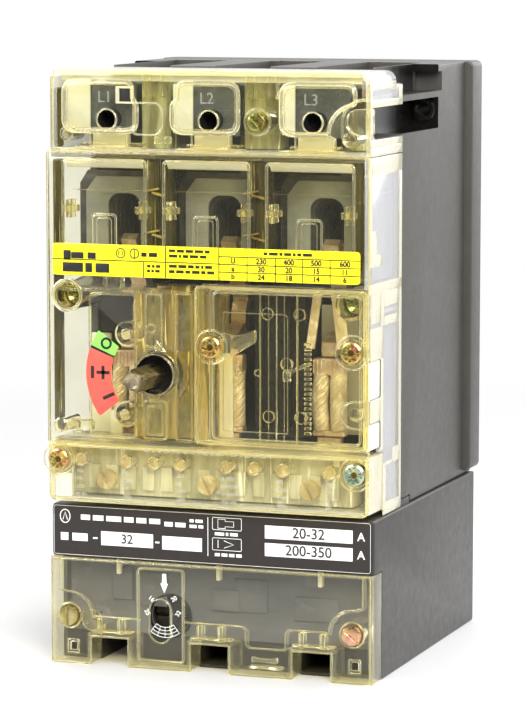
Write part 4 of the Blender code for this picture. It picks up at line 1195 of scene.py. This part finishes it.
def trip_ribs():
    """Steps, bosses, slot rim and cable gap rim of the shield."""
    x0, x1 = SHIELD_X
    z1 = SHIELD_Z[1]
    rims = Piece("trip_rims")
    steps = [
        [
            (x0 + 4, z1), (x0 + 4, 31), *ring((-TRIP_SCREW_X, DIAL_Z), 10, 95, -5, 10), (-50.5, 20.6),
            (-31, 20.6),
        ],
        [
            (-11, 20.6), (14.5, 20.6), (16, 19), (16, 13.2), (17.5, 12), (31.5, 12), (33, 13.2), (33, 19),
            (34.5, 20.6), (49, 20.6), *ring((TRIP_SCREW_X, DIAL_Z), 10, 180, 85, 10), (66, 31.5), (66, z1),
        ],
    ]
    for line in steps:
        rims.tube([(u, 3.2, v) for u, v in line], 0.5)
        rims.tube([(u, 6.5, v - 0.9) for u, v in line], 0.3)
    rims.bead(rounded((-31, -11.2), (3.6, 42), 1.5, 4), 2.7, 0.5)
    rims.bead(rounded((-31, -11.2), (3.6, 42), 1.5, 4), 4.4, 0.35)
    rims.bead(DIAL_SLOT, 3.0, 0.28)
    rims.bead(
        [
            (x0 + 0.7, 0.7), *[(u, v + 0.7) for u, v in CABLE_GAPS], (x1 - 0.7, 0.7), (x1 - 0.7, z1 - 0.5),
            (x0 + 0.7, z1 - 0.5),
        ],
        3.4, 0.5,
    )
    for x in (-TRIP_SCREW_X, TRIP_SCREW_X):
        rims.bead(ring((x, DIAL_Z), 5.2, steps=36), 2.9, 0.4)
        rims.pipe((x, DIAL_Z), 5.4, 4.9, 3.4, 15)
    rims.pipe((-51.5, DIAL_Z - 1.5), 4.6, 4.1, 3.2, 14, 32)
    for x in (-60, 62.5):
        rims.bead(rounded((x - 2.4, x + 2.4), (4.6, 10.2), 0.3, 1), 3.1, 0.5)
    for x in POLES.values():
        for side in SIDES:
            rims.block((x + side * 4.5 - 1.2, x + side * 4.5 + 1.2), (3.4, 8), (13.2, 19.5), 0.4)
        rims.block((x - 9, x + 9), (5, 9), (13.4, 14.4), 0.3)
    rims.prism(
        [(18.4, 6.2), (29.6, 6.2), (29.6, 8.6), (26, 7.9), (22, 7.9), (18.4, 8.6)], (2.9, 4.6), edge=0.3
    )
    rims.block((17, 31), (3.6, 8), (3.4, 4.6), 0.3)
    rims.done(RIM)


def dial_print():
    """Ring behind the dial and the scale printed over it."""
    Piece("dial_well").sheet(
        [ring((DIAL_X, DIAL_Z), 9.4), ring((DIAL_X, DIAL_Z), 8.4)], (14.6, 16), 0.3
    ).done(BLACK)
    marks = Piece("dial_marks")
    marks.prism(
        [
            (-20.3, 40.2), (-18.7, 40.2), (-18.5, 36.2), (-17.8, 36.2), (-19.5, 32.2), (-21.2, 36.2),
            (-20.5, 36.2),
        ],
        (3.0, 3.3), edge=0.05,
    )
    for r in (6, 7.4, 8.8, 10.2):
        marks.tube([(u, 3.1, v) for u, v in ring((-19.2, 24), r, 232, 308, 12)], 0.13)
    for a in (232, 251, 270, 289, 308):
        p, q = ring((-19.2, 24), 6, a, a, 1)[0], ring((-19.2, 24), 10.2, a, a, 1)[0]
        marks.tube([(p[0], 3.1, p[1]), (q[0], 3.1, q[1])], 0.12)
    marks.done(WHITE_INK)
    for text, x, z, turn in (
        ("16", -25.2, 29.5, 35), ("20", -15.2, 30, -30), ("25", -27, 23.8, 60), ("32", -13.4, 24, -60)
    ):
        lettering(f"dial_{text}", text, x, 3.1, z, 2.6, WHITE_INK, 0.03, turn)


# ---------------------------------------------------------------- labels


def greek(piece, x, z, depth, rows, height, seed, gap=0.35):
    """Rows of short bars, as unreadable small print between x limits from z down."""
    words = random.Random(seed)
    for i in range(rows):
        u = x[0]
        v = z - i * height * 1.75
        while u < x[1] - height:
            w = min(words.uniform(0.8, 3.2) * height, x[1] - u)
            piece.block((u, u + w), (depth, depth + PRINT), (v - height / 2, v + height / 2), 0.05, 1)
            u += w + gap * height * 1.6
    return piece


def rating_label():
    """Yellow label with its lines, stand-in print and rating table."""
    x, d, z = limits("rating_label")
    Piece("rating_label").sheet([rounded(x, z, 1.5, 4)], (d[0] + 0.12, d[1]), 0.08).stands_for(YELLOW)
    ink = Piece("rating_print")
    top = d[0] + 0.04
    flat = (top, top + PRINT)
    wire = top + 0.1
    z0, z1 = z
    ink.row((-17, 6), 0.22, flat, (z0, z1), 0.03)
    ink.block((-26.7, -26.3), flat, (z0, z0 + 6.4), 0.03)
    for v, (a, b) in (
        (z0 + 6.5, (x[0], 6)), (z0 + 9.5, (6, x[1])), (z0 + 6.4, (6, x[1])), (z0 + 3.3, (6, x[1]))
    ):
        ink.block((a, b), flat, (v - 0.2, v + 0.2), 0.03)
    ink.row((18, 30, 41.5, 53), 0.19, flat, (z0, z0 + 9.5), 0.03)
    for u, w, h in ((-60, 3.2, 4), (-55.5, 5.5, 2.6), (-49.2, 3.6, 2.6)):
        ink.block((u - w / 2, u + w / 2), flat, (170.2 - h / 2, 170.2 + h / 2), 0.2)
    for u, w in ((-57.5, 9), (-50.5, 3), (-44.5, 6)):
        ink.block((u - w / 2, u + w / 2), flat, (163.4, 167.2), 0.2)
    ink.bead(ring((-36.5, 171.6), 1.9, steps=24), wire, 0.24)
    ink.bead(ring((-30.5, 171.6), 1.9, steps=24), wire, 0.24)
    ink.tube([(-37.4, wire, 170.8), (-37.4, wire, 172.4), (-35.6, wire, 170.8), (-35.6, wire, 172.4)], 0.22)
    ink.tube([(-30.5, wire, 170), (-30.5, wire, 173.2)], 0.22)
    for x, v, rows, height, seed in (
        ((-27.5, -19), 171.3, 1, 1.7, 3), ((-25, -18.5), 166.7, 2, 1.1, 4), ((-15.5, 2), 173.2, 2, 1.2, 5),
        ((-15.5, 4), 167, 2, 1.25, 6), ((25, 47), 173.2, 1, 1.2, 8),
    ):
        greek(ink, x, v, top, rows, height, seed)
    ink.done(INK)
    table = (("U", "230", "400", "500", "600"), ("a", "30", "20", "15", "11"), ("b", "24", "18", "14", "6"))
    for row, cells in enumerate(table):
        for u, cell in zip((12, 24, 35.7, 47.2, 59.2), cells):
            lettering(f"rating_{row}_{int(u)}", cell, u, top, z0 + 7.9 - 3.15 * row, 3.0, INK, 0.09)


def position_label():
    """Red and green sectors round the shaft with the plain on, off and trip signs."""
    d = limits("position_label")[1]

    def sector(name, start, end, material, nodes=()):
        outline = fillet(ring(SHAFT, 29.5, start, end, 12) + ring(SHAFT, 18.5, end, start, 12), 0.9, 2)
        Piece(name).prism(outline, (d[0] + 0.15, d[1]), edge=0.08).done(material, nodes=nodes)

    sector("position_red", 159.5, 217, RED, ("position_label",))
    sector("position_green", 144, 157.3, GREEN)
    marks = Piece("position_marks")
    top = d[0] + 0.05
    flat = (top, top + PRINT)
    marks.prism(
        ring(SHAFT, 29.4, 157.3, 159.5, 3) + ring(SHAFT, 18.6, 159.5, 157.3, 3), (top, d[1]), edge=0.03
    )
    marks.sheet([ring((-43, 134.6), 2.5), ring((-43, 134.6), 1.45)], flat, 0.03)
    marks.blocks(
        0.1, (-47.4, -41.6, *flat, 121.9, 123.3), (-45.2, -43.8, *flat, 119.8, 125.4),
        (-49.9, -48.4, *flat, 120, 125.2),
    )
    marks.block((-44.8, -39.3), flat, (112.3, 113.8), 0.1, turn=("y", -25))
    marks.done(INK)


def nameplate():
    """Dark plate of the trip unit with value fields, signs and stand-in print."""
    x, d, z = limits("trip_nameplate")
    Piece("trip_nameplate").sheet([rounded(x, z, 1.2, 3)], (d[0] + 0.1, d[1]), 0.08).stands_for(PLATE_BROWN)
    ink = Piece("nameplate_print")
    top = d[0] + 0.03
    flat = (top, top + PRINT)
    wire = top + 0.1
    for u, v in (
        ((-48, -25), (50.2, 56)), ((-21, -3.6), (50, 55.6)), ((23.6, 61), (57.2, 62.6)),
        ((23.6, 61), (50, 55.4)),
    ):
        ink.block(u, flat, v, 0.15)
    ink.block((-1.15, -0.85), flat, (48.5, 64.5), 0.03)
    border = rounded((x[0] + 0.5, x[1] - 0.5), (z[0] + 0.5, z[1] - 0.4), 1, 3)
    ink.bead(border, wire, 0.1)
    ink.blocks(0.03, (-51.6, -49.6, *flat, 52.6, 53.3), (-24, -22.2, *flat, 52.4, 53.1))
    for low_z, points in (
        (
            59.6,
            ((6, 0.6), (3, 0.6), (3, 4.4), (6, 4.4), (6, 3.6), (9.5, 3.6), (9.5, 1.4), (6, 1.4), (6, 0.6)),
        ),
        (51.2, ((5.5, 4), (9.5, 2.5), (5.5, 1))),
    ):
        ink.tube([(0.2 + u * 1.05, wire, low_z + v) for u, v in points], 0.16)
        ink.bead(rounded((1, 13.5), (low_z, low_z + 5), 0.3, 1), wire, 0.14)
    ink.tube([(3.4, wire, 52.2), (3.4, wire, 55.4)], 0.18)
    for x, v, rows, height, seed in (
        ((-57, -21), 61.4, 1, 2.2, 11), ((-20, -10.5), 60.6, 1, 1.9, 12), ((-9, -3), 62.6, 2, 1.3, 13),
        ((-66, -54), 53, 1, 3.2, 14), ((2, 13), 57.9, 1, 1.3, 15), ((2, 14), 49.3, 1, 1.3, 16),
    ):
        greek(ink, x, v, top, rows, height, seed)
    ink.tube([(u, wire, v * 1.25 - 15.3) for u, v in ring((-64, 61.4), 2.2, steps=24)], 0.22, True)
    ink.tube([(-65, wire, 60), (-64, wire, 63.2), (-63, wire, 60)], 0.2)
    ink.done(WHITE_INK)
    for name, text, u, v, size, material in (
        ("set_value_a", "32", -36.5, 53.1, 5.4, INK),
        ("set_value_b", "20-32", 42.3, 59.9, 6, INK),
        ("set_value_c", "200-350", 42.3, 52.7, 6, INK),
        ("unit_a", "A", 64.6, 60, 4.8, WHITE_INK),
        ("unit_b", "A", 64.6, 52.6, 4.8, WHITE_INK),
    ):
        lettering(name, text, u, top - 0.03, v, size, material, 0.06)


# ---------------------------------------------------------------- screws, drive and current path


def slotted(piece, x, z, radius, front, back, slot_turn, slot_width=1.0):
    """Screw head with a rounded edge and a slot across it."""
    head = Piece("head")
    head.spin(
        [
            (0, front), (radius * 0.72, front + 0.05), (radius * 0.93, front + 0.3), (radius, front + 0.8),
            (radius, back), (0, back),
        ],
        (x, z),
        steps=40,
    )
    slot = Piece("slot")
    slot.block(
        (x - 10, x + 10), (front - 1, front + 0.9), (z - slot_width / 2, z + slot_width / 2), 0,
        turn=("y", slot_turn),
    )
    head.cut(slot)
    soften(head.bm, 0.08, 1, 60)
    return piece.take(head.bm)


def sealed(name, x, z, front, radius, material):
    """Sealed screw: petals stamped round a hollow centre, over a dark disc that paints the shade between the
    petals.
    """
    piece = Piece(name)
    piece.spin(
        [
            (0, front + 0.9), (1.0, front + 0.9), (1.3, front + 0.35), (radius - 0.7, front + 0.25),
            (radius, front + 0.7), (radius, front + 1.6), (0, front + 1.6),
        ],
        (x, z), steps=40,
    )
    for i in range(9):
        u, v = ring((x, z), radius * 0.6, 40 * i + 8, 40 * i + 8, 1)[0]
        piece.block(
            (u - radius * 0.27, u + radius * 0.27), (front, front + 0.6), (v - 0.42, v + 0.42), 0.2, 2,
            ("y", -(40 * i + 8) + 14),
        )
    piece.stands_for(material)
    # Dark disc behind the petals paints the shade between them.
    Piece(name + "_pit").pin((x, z), radius - 0.5, front + 0.55, front + 0.95).done(RECESS_SHADE)


def screws():
    """Slotted and sealed screws of the covers and the terminals."""
    for node, radius, material, turn in (
        ("terminal_cover_screw", 3.6, GREENISH, 50),
        ("cover_screw_left", 4.5, GREENISH, 15),
        ("cover_screw_right", 4.5, GREENISH, 20),
        ("trip_screw_left", 4.2, ZINC, 90),
        ("trip_screw_right", 4.2, PINKISH, 40),
    ):
        x, d, z = limits(node)
        piece = Piece(node)
        u, v = sum(x) / 2, sum(z) / 2
        slotted(piece, u, v, radius, d[0], d[0] + 2.2, turn, 1.1)
        piece.pin((u, v), 1.9, d[0] + 2, d[1], steps=20)
        piece.stands_for(material)
    for node, material in (
        ("sealed_screw_left", GOLD), ("sealed_screw_right", GOLD), ("band_screw_left", GOLD),
        ("band_screw_right", SILVERY),
    ):
        x, d, z = limits(node)
        sealed(node, sum(x) / 2, sum(z) / 2, d[0], 4.3, material)
    for name, x in POLES.items():
        d = limits(f"line_screw_{name}")[1]
        piece = Piece(f"line_screw_{name}")
        slotted(piece, x, DRIVER_Z, 3.4, d[0], d[1], {"left": 90, "centre": 35, "right": 75}[name], 1.0)
        piece.stands_for(ZINC)


def shaft():
    """Square drive shaft with a turned, worn tip, its crank and the black bearing cup."""
    d = limits("operating_shaft")[1]
    turn = Matrix.Translation((SHAFT_X, 0, SHAFT_Z)) @ Matrix.Rotation(math.radians(31), 4, "Y")
    bar = Piece("operating_shaft")
    square = Piece("square")
    square.prism(rounded((-3.6, 3.6), (-3.6, 3.6), 0.5, 3), (d[0] + 2, 27.5), edge=0.5)
    bar.take(square.bm, turn)
    Piece("shaft_tip").spin(
        [
            (0, d[0] + 0.25), (2.5, d[0] + 0.25), (2.9, d[0]), (3.3, d[0]), (3.5, d[0] + 0.3),
            (3.5, d[0] + 2.4), (0, d[0] + 2.4),
        ],
        SHAFT, steps=40,
    ).done(WORN, "drive_shaft")
    bar.pin(SHAFT, 6.2, 24.5, 28)
    start = math.radians(-28.5)
    pin = (SHAFT_X + 9 * math.cos(start), SHAFT_Z + 9 * math.sin(start))
    bar.prism(ring(pin, 2.6, -118, 62, 10) + ring(SHAFT, 4.5, 62, 242, 10), (24.6, 27.8), edge=0.3)
    bar.spin([(0, 26), (1.6, 26), (1.6, 48.4), (1.3, 48.8), (0, 48.8)], pin, steps=20)
    bar.stands_for(STEEL, "drive_shaft")
    cup = Piece("shaft_hub")
    d = limits("shaft_hub")[1]
    cup.spin(
        [
            (7.9, d[0]), (8.25, d[0] + 0.3), (8.25, d[1] - 2.4), (9.8, d[1] - 2), (9.8, d[1]), (5.4, d[1]),
            (5.4, d[1] - 2), (7.7, d[1] - 2),
        ],
        SHAFT, steps=48, closed=True,
    )
    cup.stands_for(BLACK)


def rope(piece, points, radius, strands=6, turns=5.0, steps=36):
    """Twisted strands round a path of (x, depth, z) points."""
    path = [Vector(p) for p in points]

    def along(t):
        f = t * (len(path) - 1)
        i = min(int(f), len(path) - 2)
        p = [path[max(i - 1, 0)], path[i], path[i + 1], path[min(i + 2, len(path) - 1)]]
        u = f - i
        return 0.5 * (
            2 * p[1] + (p[2] - p[0]) * u + (2 * p[0] - 5 * p[1] + 4 * p[2] - p[3]) * u * u
            + (3 * p[1] - p[0] - 3 * p[2] + p[3]) * u ** 3
        )

    for s in range(strands):
        line = []
        for i in range(steps + 1):
            t = i / steps
            a = 2 * math.pi * (s / strands + turns * t)
            line.append(along(t) + Vector((math.cos(a), math.sin(a), 0)) * radius * 0.72)
        piece.tube([tuple(p) for p in line], radius * 0.3, sides=1)
    return piece


def hood(x, low, shoulder, top, left, right):
    """Upright outline whose two upper corners are cut off."""
    return [
        (x[0], low), (x[0], shoulder), (x[0] + left, top), (x[1] - right, top), (x[1], shoulder),
        (x[1], low),
    ]


def arc_chamber(name, x):
    """Fibre front and steel plates of one arc chamber."""
    cx, d, z = limits(f"arc_chute_{name}")
    front = Piece(f"arc_chute_{name}")
    arch = [
        (x + 7.2, z[0]), *ring((x + 2, 189), 5.2, 0, 90, 8), *ring((x - 2, 189), 5.2, 90, 180, 8),
        (x - 7.2, z[0]),
    ]
    border = hood(cx, z[0], z[1] - 6, z[1], 4.5, 4.5)
    front.prism(border + arch, (d[0], d[0] + 1.6), edge=0.3)
    for side in SIDES:
        front.block(sorted((x + side * 15.4, x + side * 17)), (d[0] + 1.6, d[1]), (z[0], z[1] - 6), 0.3)
    front.block((x - 12, x + 12), (d[0] + 1.6, d[1]), (z[1] - 1.4, z[1]), 0.3)
    front.stands_for(FIBRE)
    plates = Piece(f"arc_plates_{name}")
    wall = hood((x - 20.5, x + 15.2), z[0] + 1, z[1] - 3, z[1] + 2.4, 3.5, 2.2)
    plates.prism(wall + arch, (d[0] + 2, d[0] + 2.9), edge=0.2)
    for i in range(8):
        depth = d[0] + 3.2 + i * 3.9
        r = 6.2 - i * 0.18
        inner = [(x + r, z[0] + 1), *ring((x, 187.4), r, 0, 180, 12), (x - r, z[0] + 1)]
        outer = hood((x - 15, x + 15), z[0] + 1, z[1] - 7, z[1] - 2, 3.5, 3.5)
        plates.prism(outer + inner, (depth, depth + 1.1), edge=0.15, segments=1)
    plates.row((x - 6, x - 4, x + 4, x + 6), 0.25, (d[1] - 2, d[1] - 1), (z[0] + 2, 193), 0.1)
    plates.done(PLATE_STEEL)


def flexible(name, x):
    """Copper ends and twisted braids of one pole."""
    braid = Piece(f"flexible_{name}")
    braid.block((x - 7, x + 7), (24.2, 29.8), (122, 129), 0.8)
    for i in range(9):
        u = x - 6.4 + i * 1.6
        braid.block((u - 0.3, u + 0.3), (23.9, 24.6), (123, 128.4), 0.2)
    braid.block((x - 7, x + 7), (24.2, 29.8), (97, 99.4), 0.8)
    braid.stands_for(COPPER)
    for i, side in enumerate(SIDES):
        cable = Piece(f"braid_{name}_{i}")
        u = x + side * 3.6
        rope(
            cable,
            [
                (u, 27, 99.6), (u + side * 0.3, 26, 105), (u + side * 0.5, 25.3, 111),
                (u + side * 0.2, 26, 117), (u, 27, 123),
            ],
            3.5, 10, 1.5, 26,
        )
        cable.done(BRAID)


def clamp(name, x):
    """Clamp cage of one line terminal."""
    cage = Piece(f"line_clamp_{name}")
    cx, d, z = limits(f"line_clamp_{name}")
    cage.sheet([rounded(cx, d, 1.2), rounded((x - 8, x + 8), (48.5, 66), 0.8)], z, 0.35, "z")
    cage.stands_for(ZINC)


def current_path():
    """What each pole holds, and the materials of the parts that keep their CAD shapes."""
    for name, x in POLES.items():
        arc_chamber(name, x)
        flexible(name, x)
        clamp(name, x)
    for name in POLES:
        for stem, material in (
            ("line_terminal", COPPER), ("load_conductor", COPPER), ("contact_arm", COPPER),
            ("magnet_yoke", STEEL), ("armature", STEEL), ("bimetal", ZINC),
        ):
            repaint(f"{stem}_{name}", material)


def repaint(node, material):
    """Gives a CAD node one of the materials; its shape stays."""
    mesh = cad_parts[node].data
    mesh.materials.clear()
    mesh.materials.append(material)


def accessory():
    """Release module and the ribs, panes and strips behind the accessory cover."""
    x, d, z = limits("accessory_module")
    body = Piece("accessory_module")
    body.prism(rounded(x, z, 0.8, 2), (d[0] + 3, d[1]), edge=0.5)
    body.prism([(20, 157), (20, 99), (29, 99), (31, 102), (31, 157)], (d[0], d[0] + 4), edge=0.5)
    body.stands_for(BLACK)
    rims = Piece("accessory_ribs")
    for u, v in ((26, 149), (39.5, 149), (34, 129), (26.5, 107.5), (40, 107.5)):
        rims.pipe((u, v), 2.6, 2.1, 1.2, 2.4, 24)
    for u, deep in ((22, 4.4), (25.8, 3.4), (29.2, 3.8), (32.5, 3.4), (37.8, 4.6)):
        rims.block((u - 0.22, u + 0.22), (3, deep), (97, 157), 0.15)
    rims.block((33.5, 44.5), (1.4, 2.8), (126.6, 128.2), 0.4, turn=("y", -24))
    rims.block((32.4, 35.6), (1.0, 3), (121.8, 126.2), 0.5)
    rims.block((11.2, 12.7), (3, 4), (122.8, 127.2), 0.2)
    rims.bead(ring((20.8, 124.6), 1.3, steps=16), 4, 0.35)
    for v in range(19):
        rims.block((39.8, 42.6), (6, 7.6), (100 + v * 2, 101.2 + v * 2), 0.3)
    rims.done(RIM)
    slabs("accessory_panes", CREAMY, 0.3, (2, 8, 10, 11, 97, 132), (38, 62, 33, 34, 97, 150))
    strips = Piece("accessory_strips")
    strips.block((39.4, 43), (14, 15.4), (134, 158), 0.3, turn=("y", 8))
    strips.block((49, 54), (16, 17.2), (134, 158), 0.3, turn=("y", -7))
    strips.done(BRAID)


def small_inner():
    """Drive frame, crossbar, trip bar and dial, which keep their CAD shapes, and the latch rod."""
    for node, material in (
        ("mechanism_frame", ZINC), ("crossbar", BLACK), ("trip_bar", BLACK), ("thermal_dial", BLACK),
    ):
        repaint(node, material)
    Piece("latch_rod").pin((14, 157), 1.6, -26, -9, "x", 20).done(STEEL)


# ---------------------------------------------------------------- build and light


CAMERA_AZIMUTH = 19.8
CAMERA_ELEVATION = 6.98
CAMERA_PLACE = (0.47495, -1.31366, 0.29233)


def direction(azimuth, elevation):
    """Unit vector from the object, in degrees round from the front and up from level."""
    a, e = math.radians(azimuth), math.radians(elevation)
    return Vector((math.sin(a) * math.cos(e), -math.cos(a) * math.cos(e), math.sin(e)))


def paper():
    """Pale floor that fades into the background."""
    floor = bpy.data.meshes.new("floor")
    bm = bmesh.new()
    bmesh.ops.create_grid(bm, x_segments=1, y_segments=1, size=6)
    bmesh.ops.translate(bm, vec=(0, 5.4, 0), verts=bm.verts)
    bm.to_mesh(floor)
    bm.free()
    floor.materials.append(FLOOR)
    ground = bpy.data.objects.new("floor", floor)
    scene.collection.objects.link(ground)


def sky():
    """Soft light from all round, brighter behind the object."""
    world = bpy.data.worlds.new("studio")
    world.use_nodes = True
    scene.world = world
    tree = world.node_tree
    back = tree.nodes["Background"]
    place = tree.nodes.new("ShaderNodeTexCoord")
    split = tree.nodes.new("ShaderNodeSeparateXYZ")
    tree.links.new(place.outputs["Generated"], split.inputs["Vector"])
    ramp = tree.nodes.new("ShaderNodeMapRange")
    for key, value in (("From Min", -0.75), ("From Max", 0.15), ("To Min", 0.12), ("To Max", 1.0)):
        ramp.inputs[key].default_value = value
    tree.links.new(split.outputs["Y"], ramp.inputs["Value"])
    back.inputs["Color"].default_value = (1, 1, 1, 1)
    tree.links.new(ramp.outputs["Result"], back.inputs["Strength"])


def lamps():
    """Four area lights round the object."""
    middle = (CAD_BOX[0] + CAD_BOX[1]) / 2
    for name, azimuth, elevation, distance, size, power in (
        ("key", 38, 36, 0.95, 0.5, 15.0),
        ("fill", -52, 30, 1.0, 0.6, 8.0),
        ("top", 190, 74, 0.9, 0.7, 7.0),
        ("rim", 152, 26, 1.0, 0.7, 3.5),
    ):
        light = bpy.data.lights.new(name, "AREA")
        light.size = size
        light.energy = power
        obj = bpy.data.objects.new(name, light)
        away = direction(azimuth, elevation)
        obj.location = middle + away * distance
        obj.rotation_euler = away.to_track_quat("Z", "Y").to_euler()
        scene.collection.objects.link(obj)


def view():
    """Camera of the photograph and how light is counted."""
    away = direction(CAMERA_AZIMUTH, CAMERA_ELEVATION)
    lens = bpy.data.cameras.new("camera")
    lens.lens = 166.24
    lens.sensor_width = 36
    lens.clip_end = 50
    camera = bpy.data.objects.new("camera", lens)
    camera.location = CAMERA_PLACE
    camera.rotation_euler = away.to_track_quat("Z", "Y").to_euler()
    scene.collection.objects.link(camera)
    scene.camera = camera
    scene.view_settings.view_transform = "Standard"
    scene.cycles.transparent_max_bounces = 48
    scene.cycles.max_bounces = 20
    scene.cycles.transmission_bounces = 20
    scene.cycles.glossy_bounces = 6
    scene.cycles.diffuse_bounces = 3


for build in (
    base, trip_case, front_cover, cover_walls, cover_ribs, shaft_opening, window_depths, drive_bay,
    terminal_cover, terminal_shell, terminal_rims, terminal_insides, terminal_wall, auxiliary_band,
    auxiliary_terminals, accessory_cover, trip_cover, trip_ribs, dial_print, rating_label, position_label,
    nameplate, screws, shaft, current_path, accessory, small_inner,
):
    build()
for mark, pole in zip(("L1", "L2", "L3"), POLES.values()):
    lettering(f"terminal_{mark}", mark, pole + 0.6, 0.1, 234.4, 6.4, ETCHED, 0.02)
for build in (paper, sky, lamps, view):
    build()
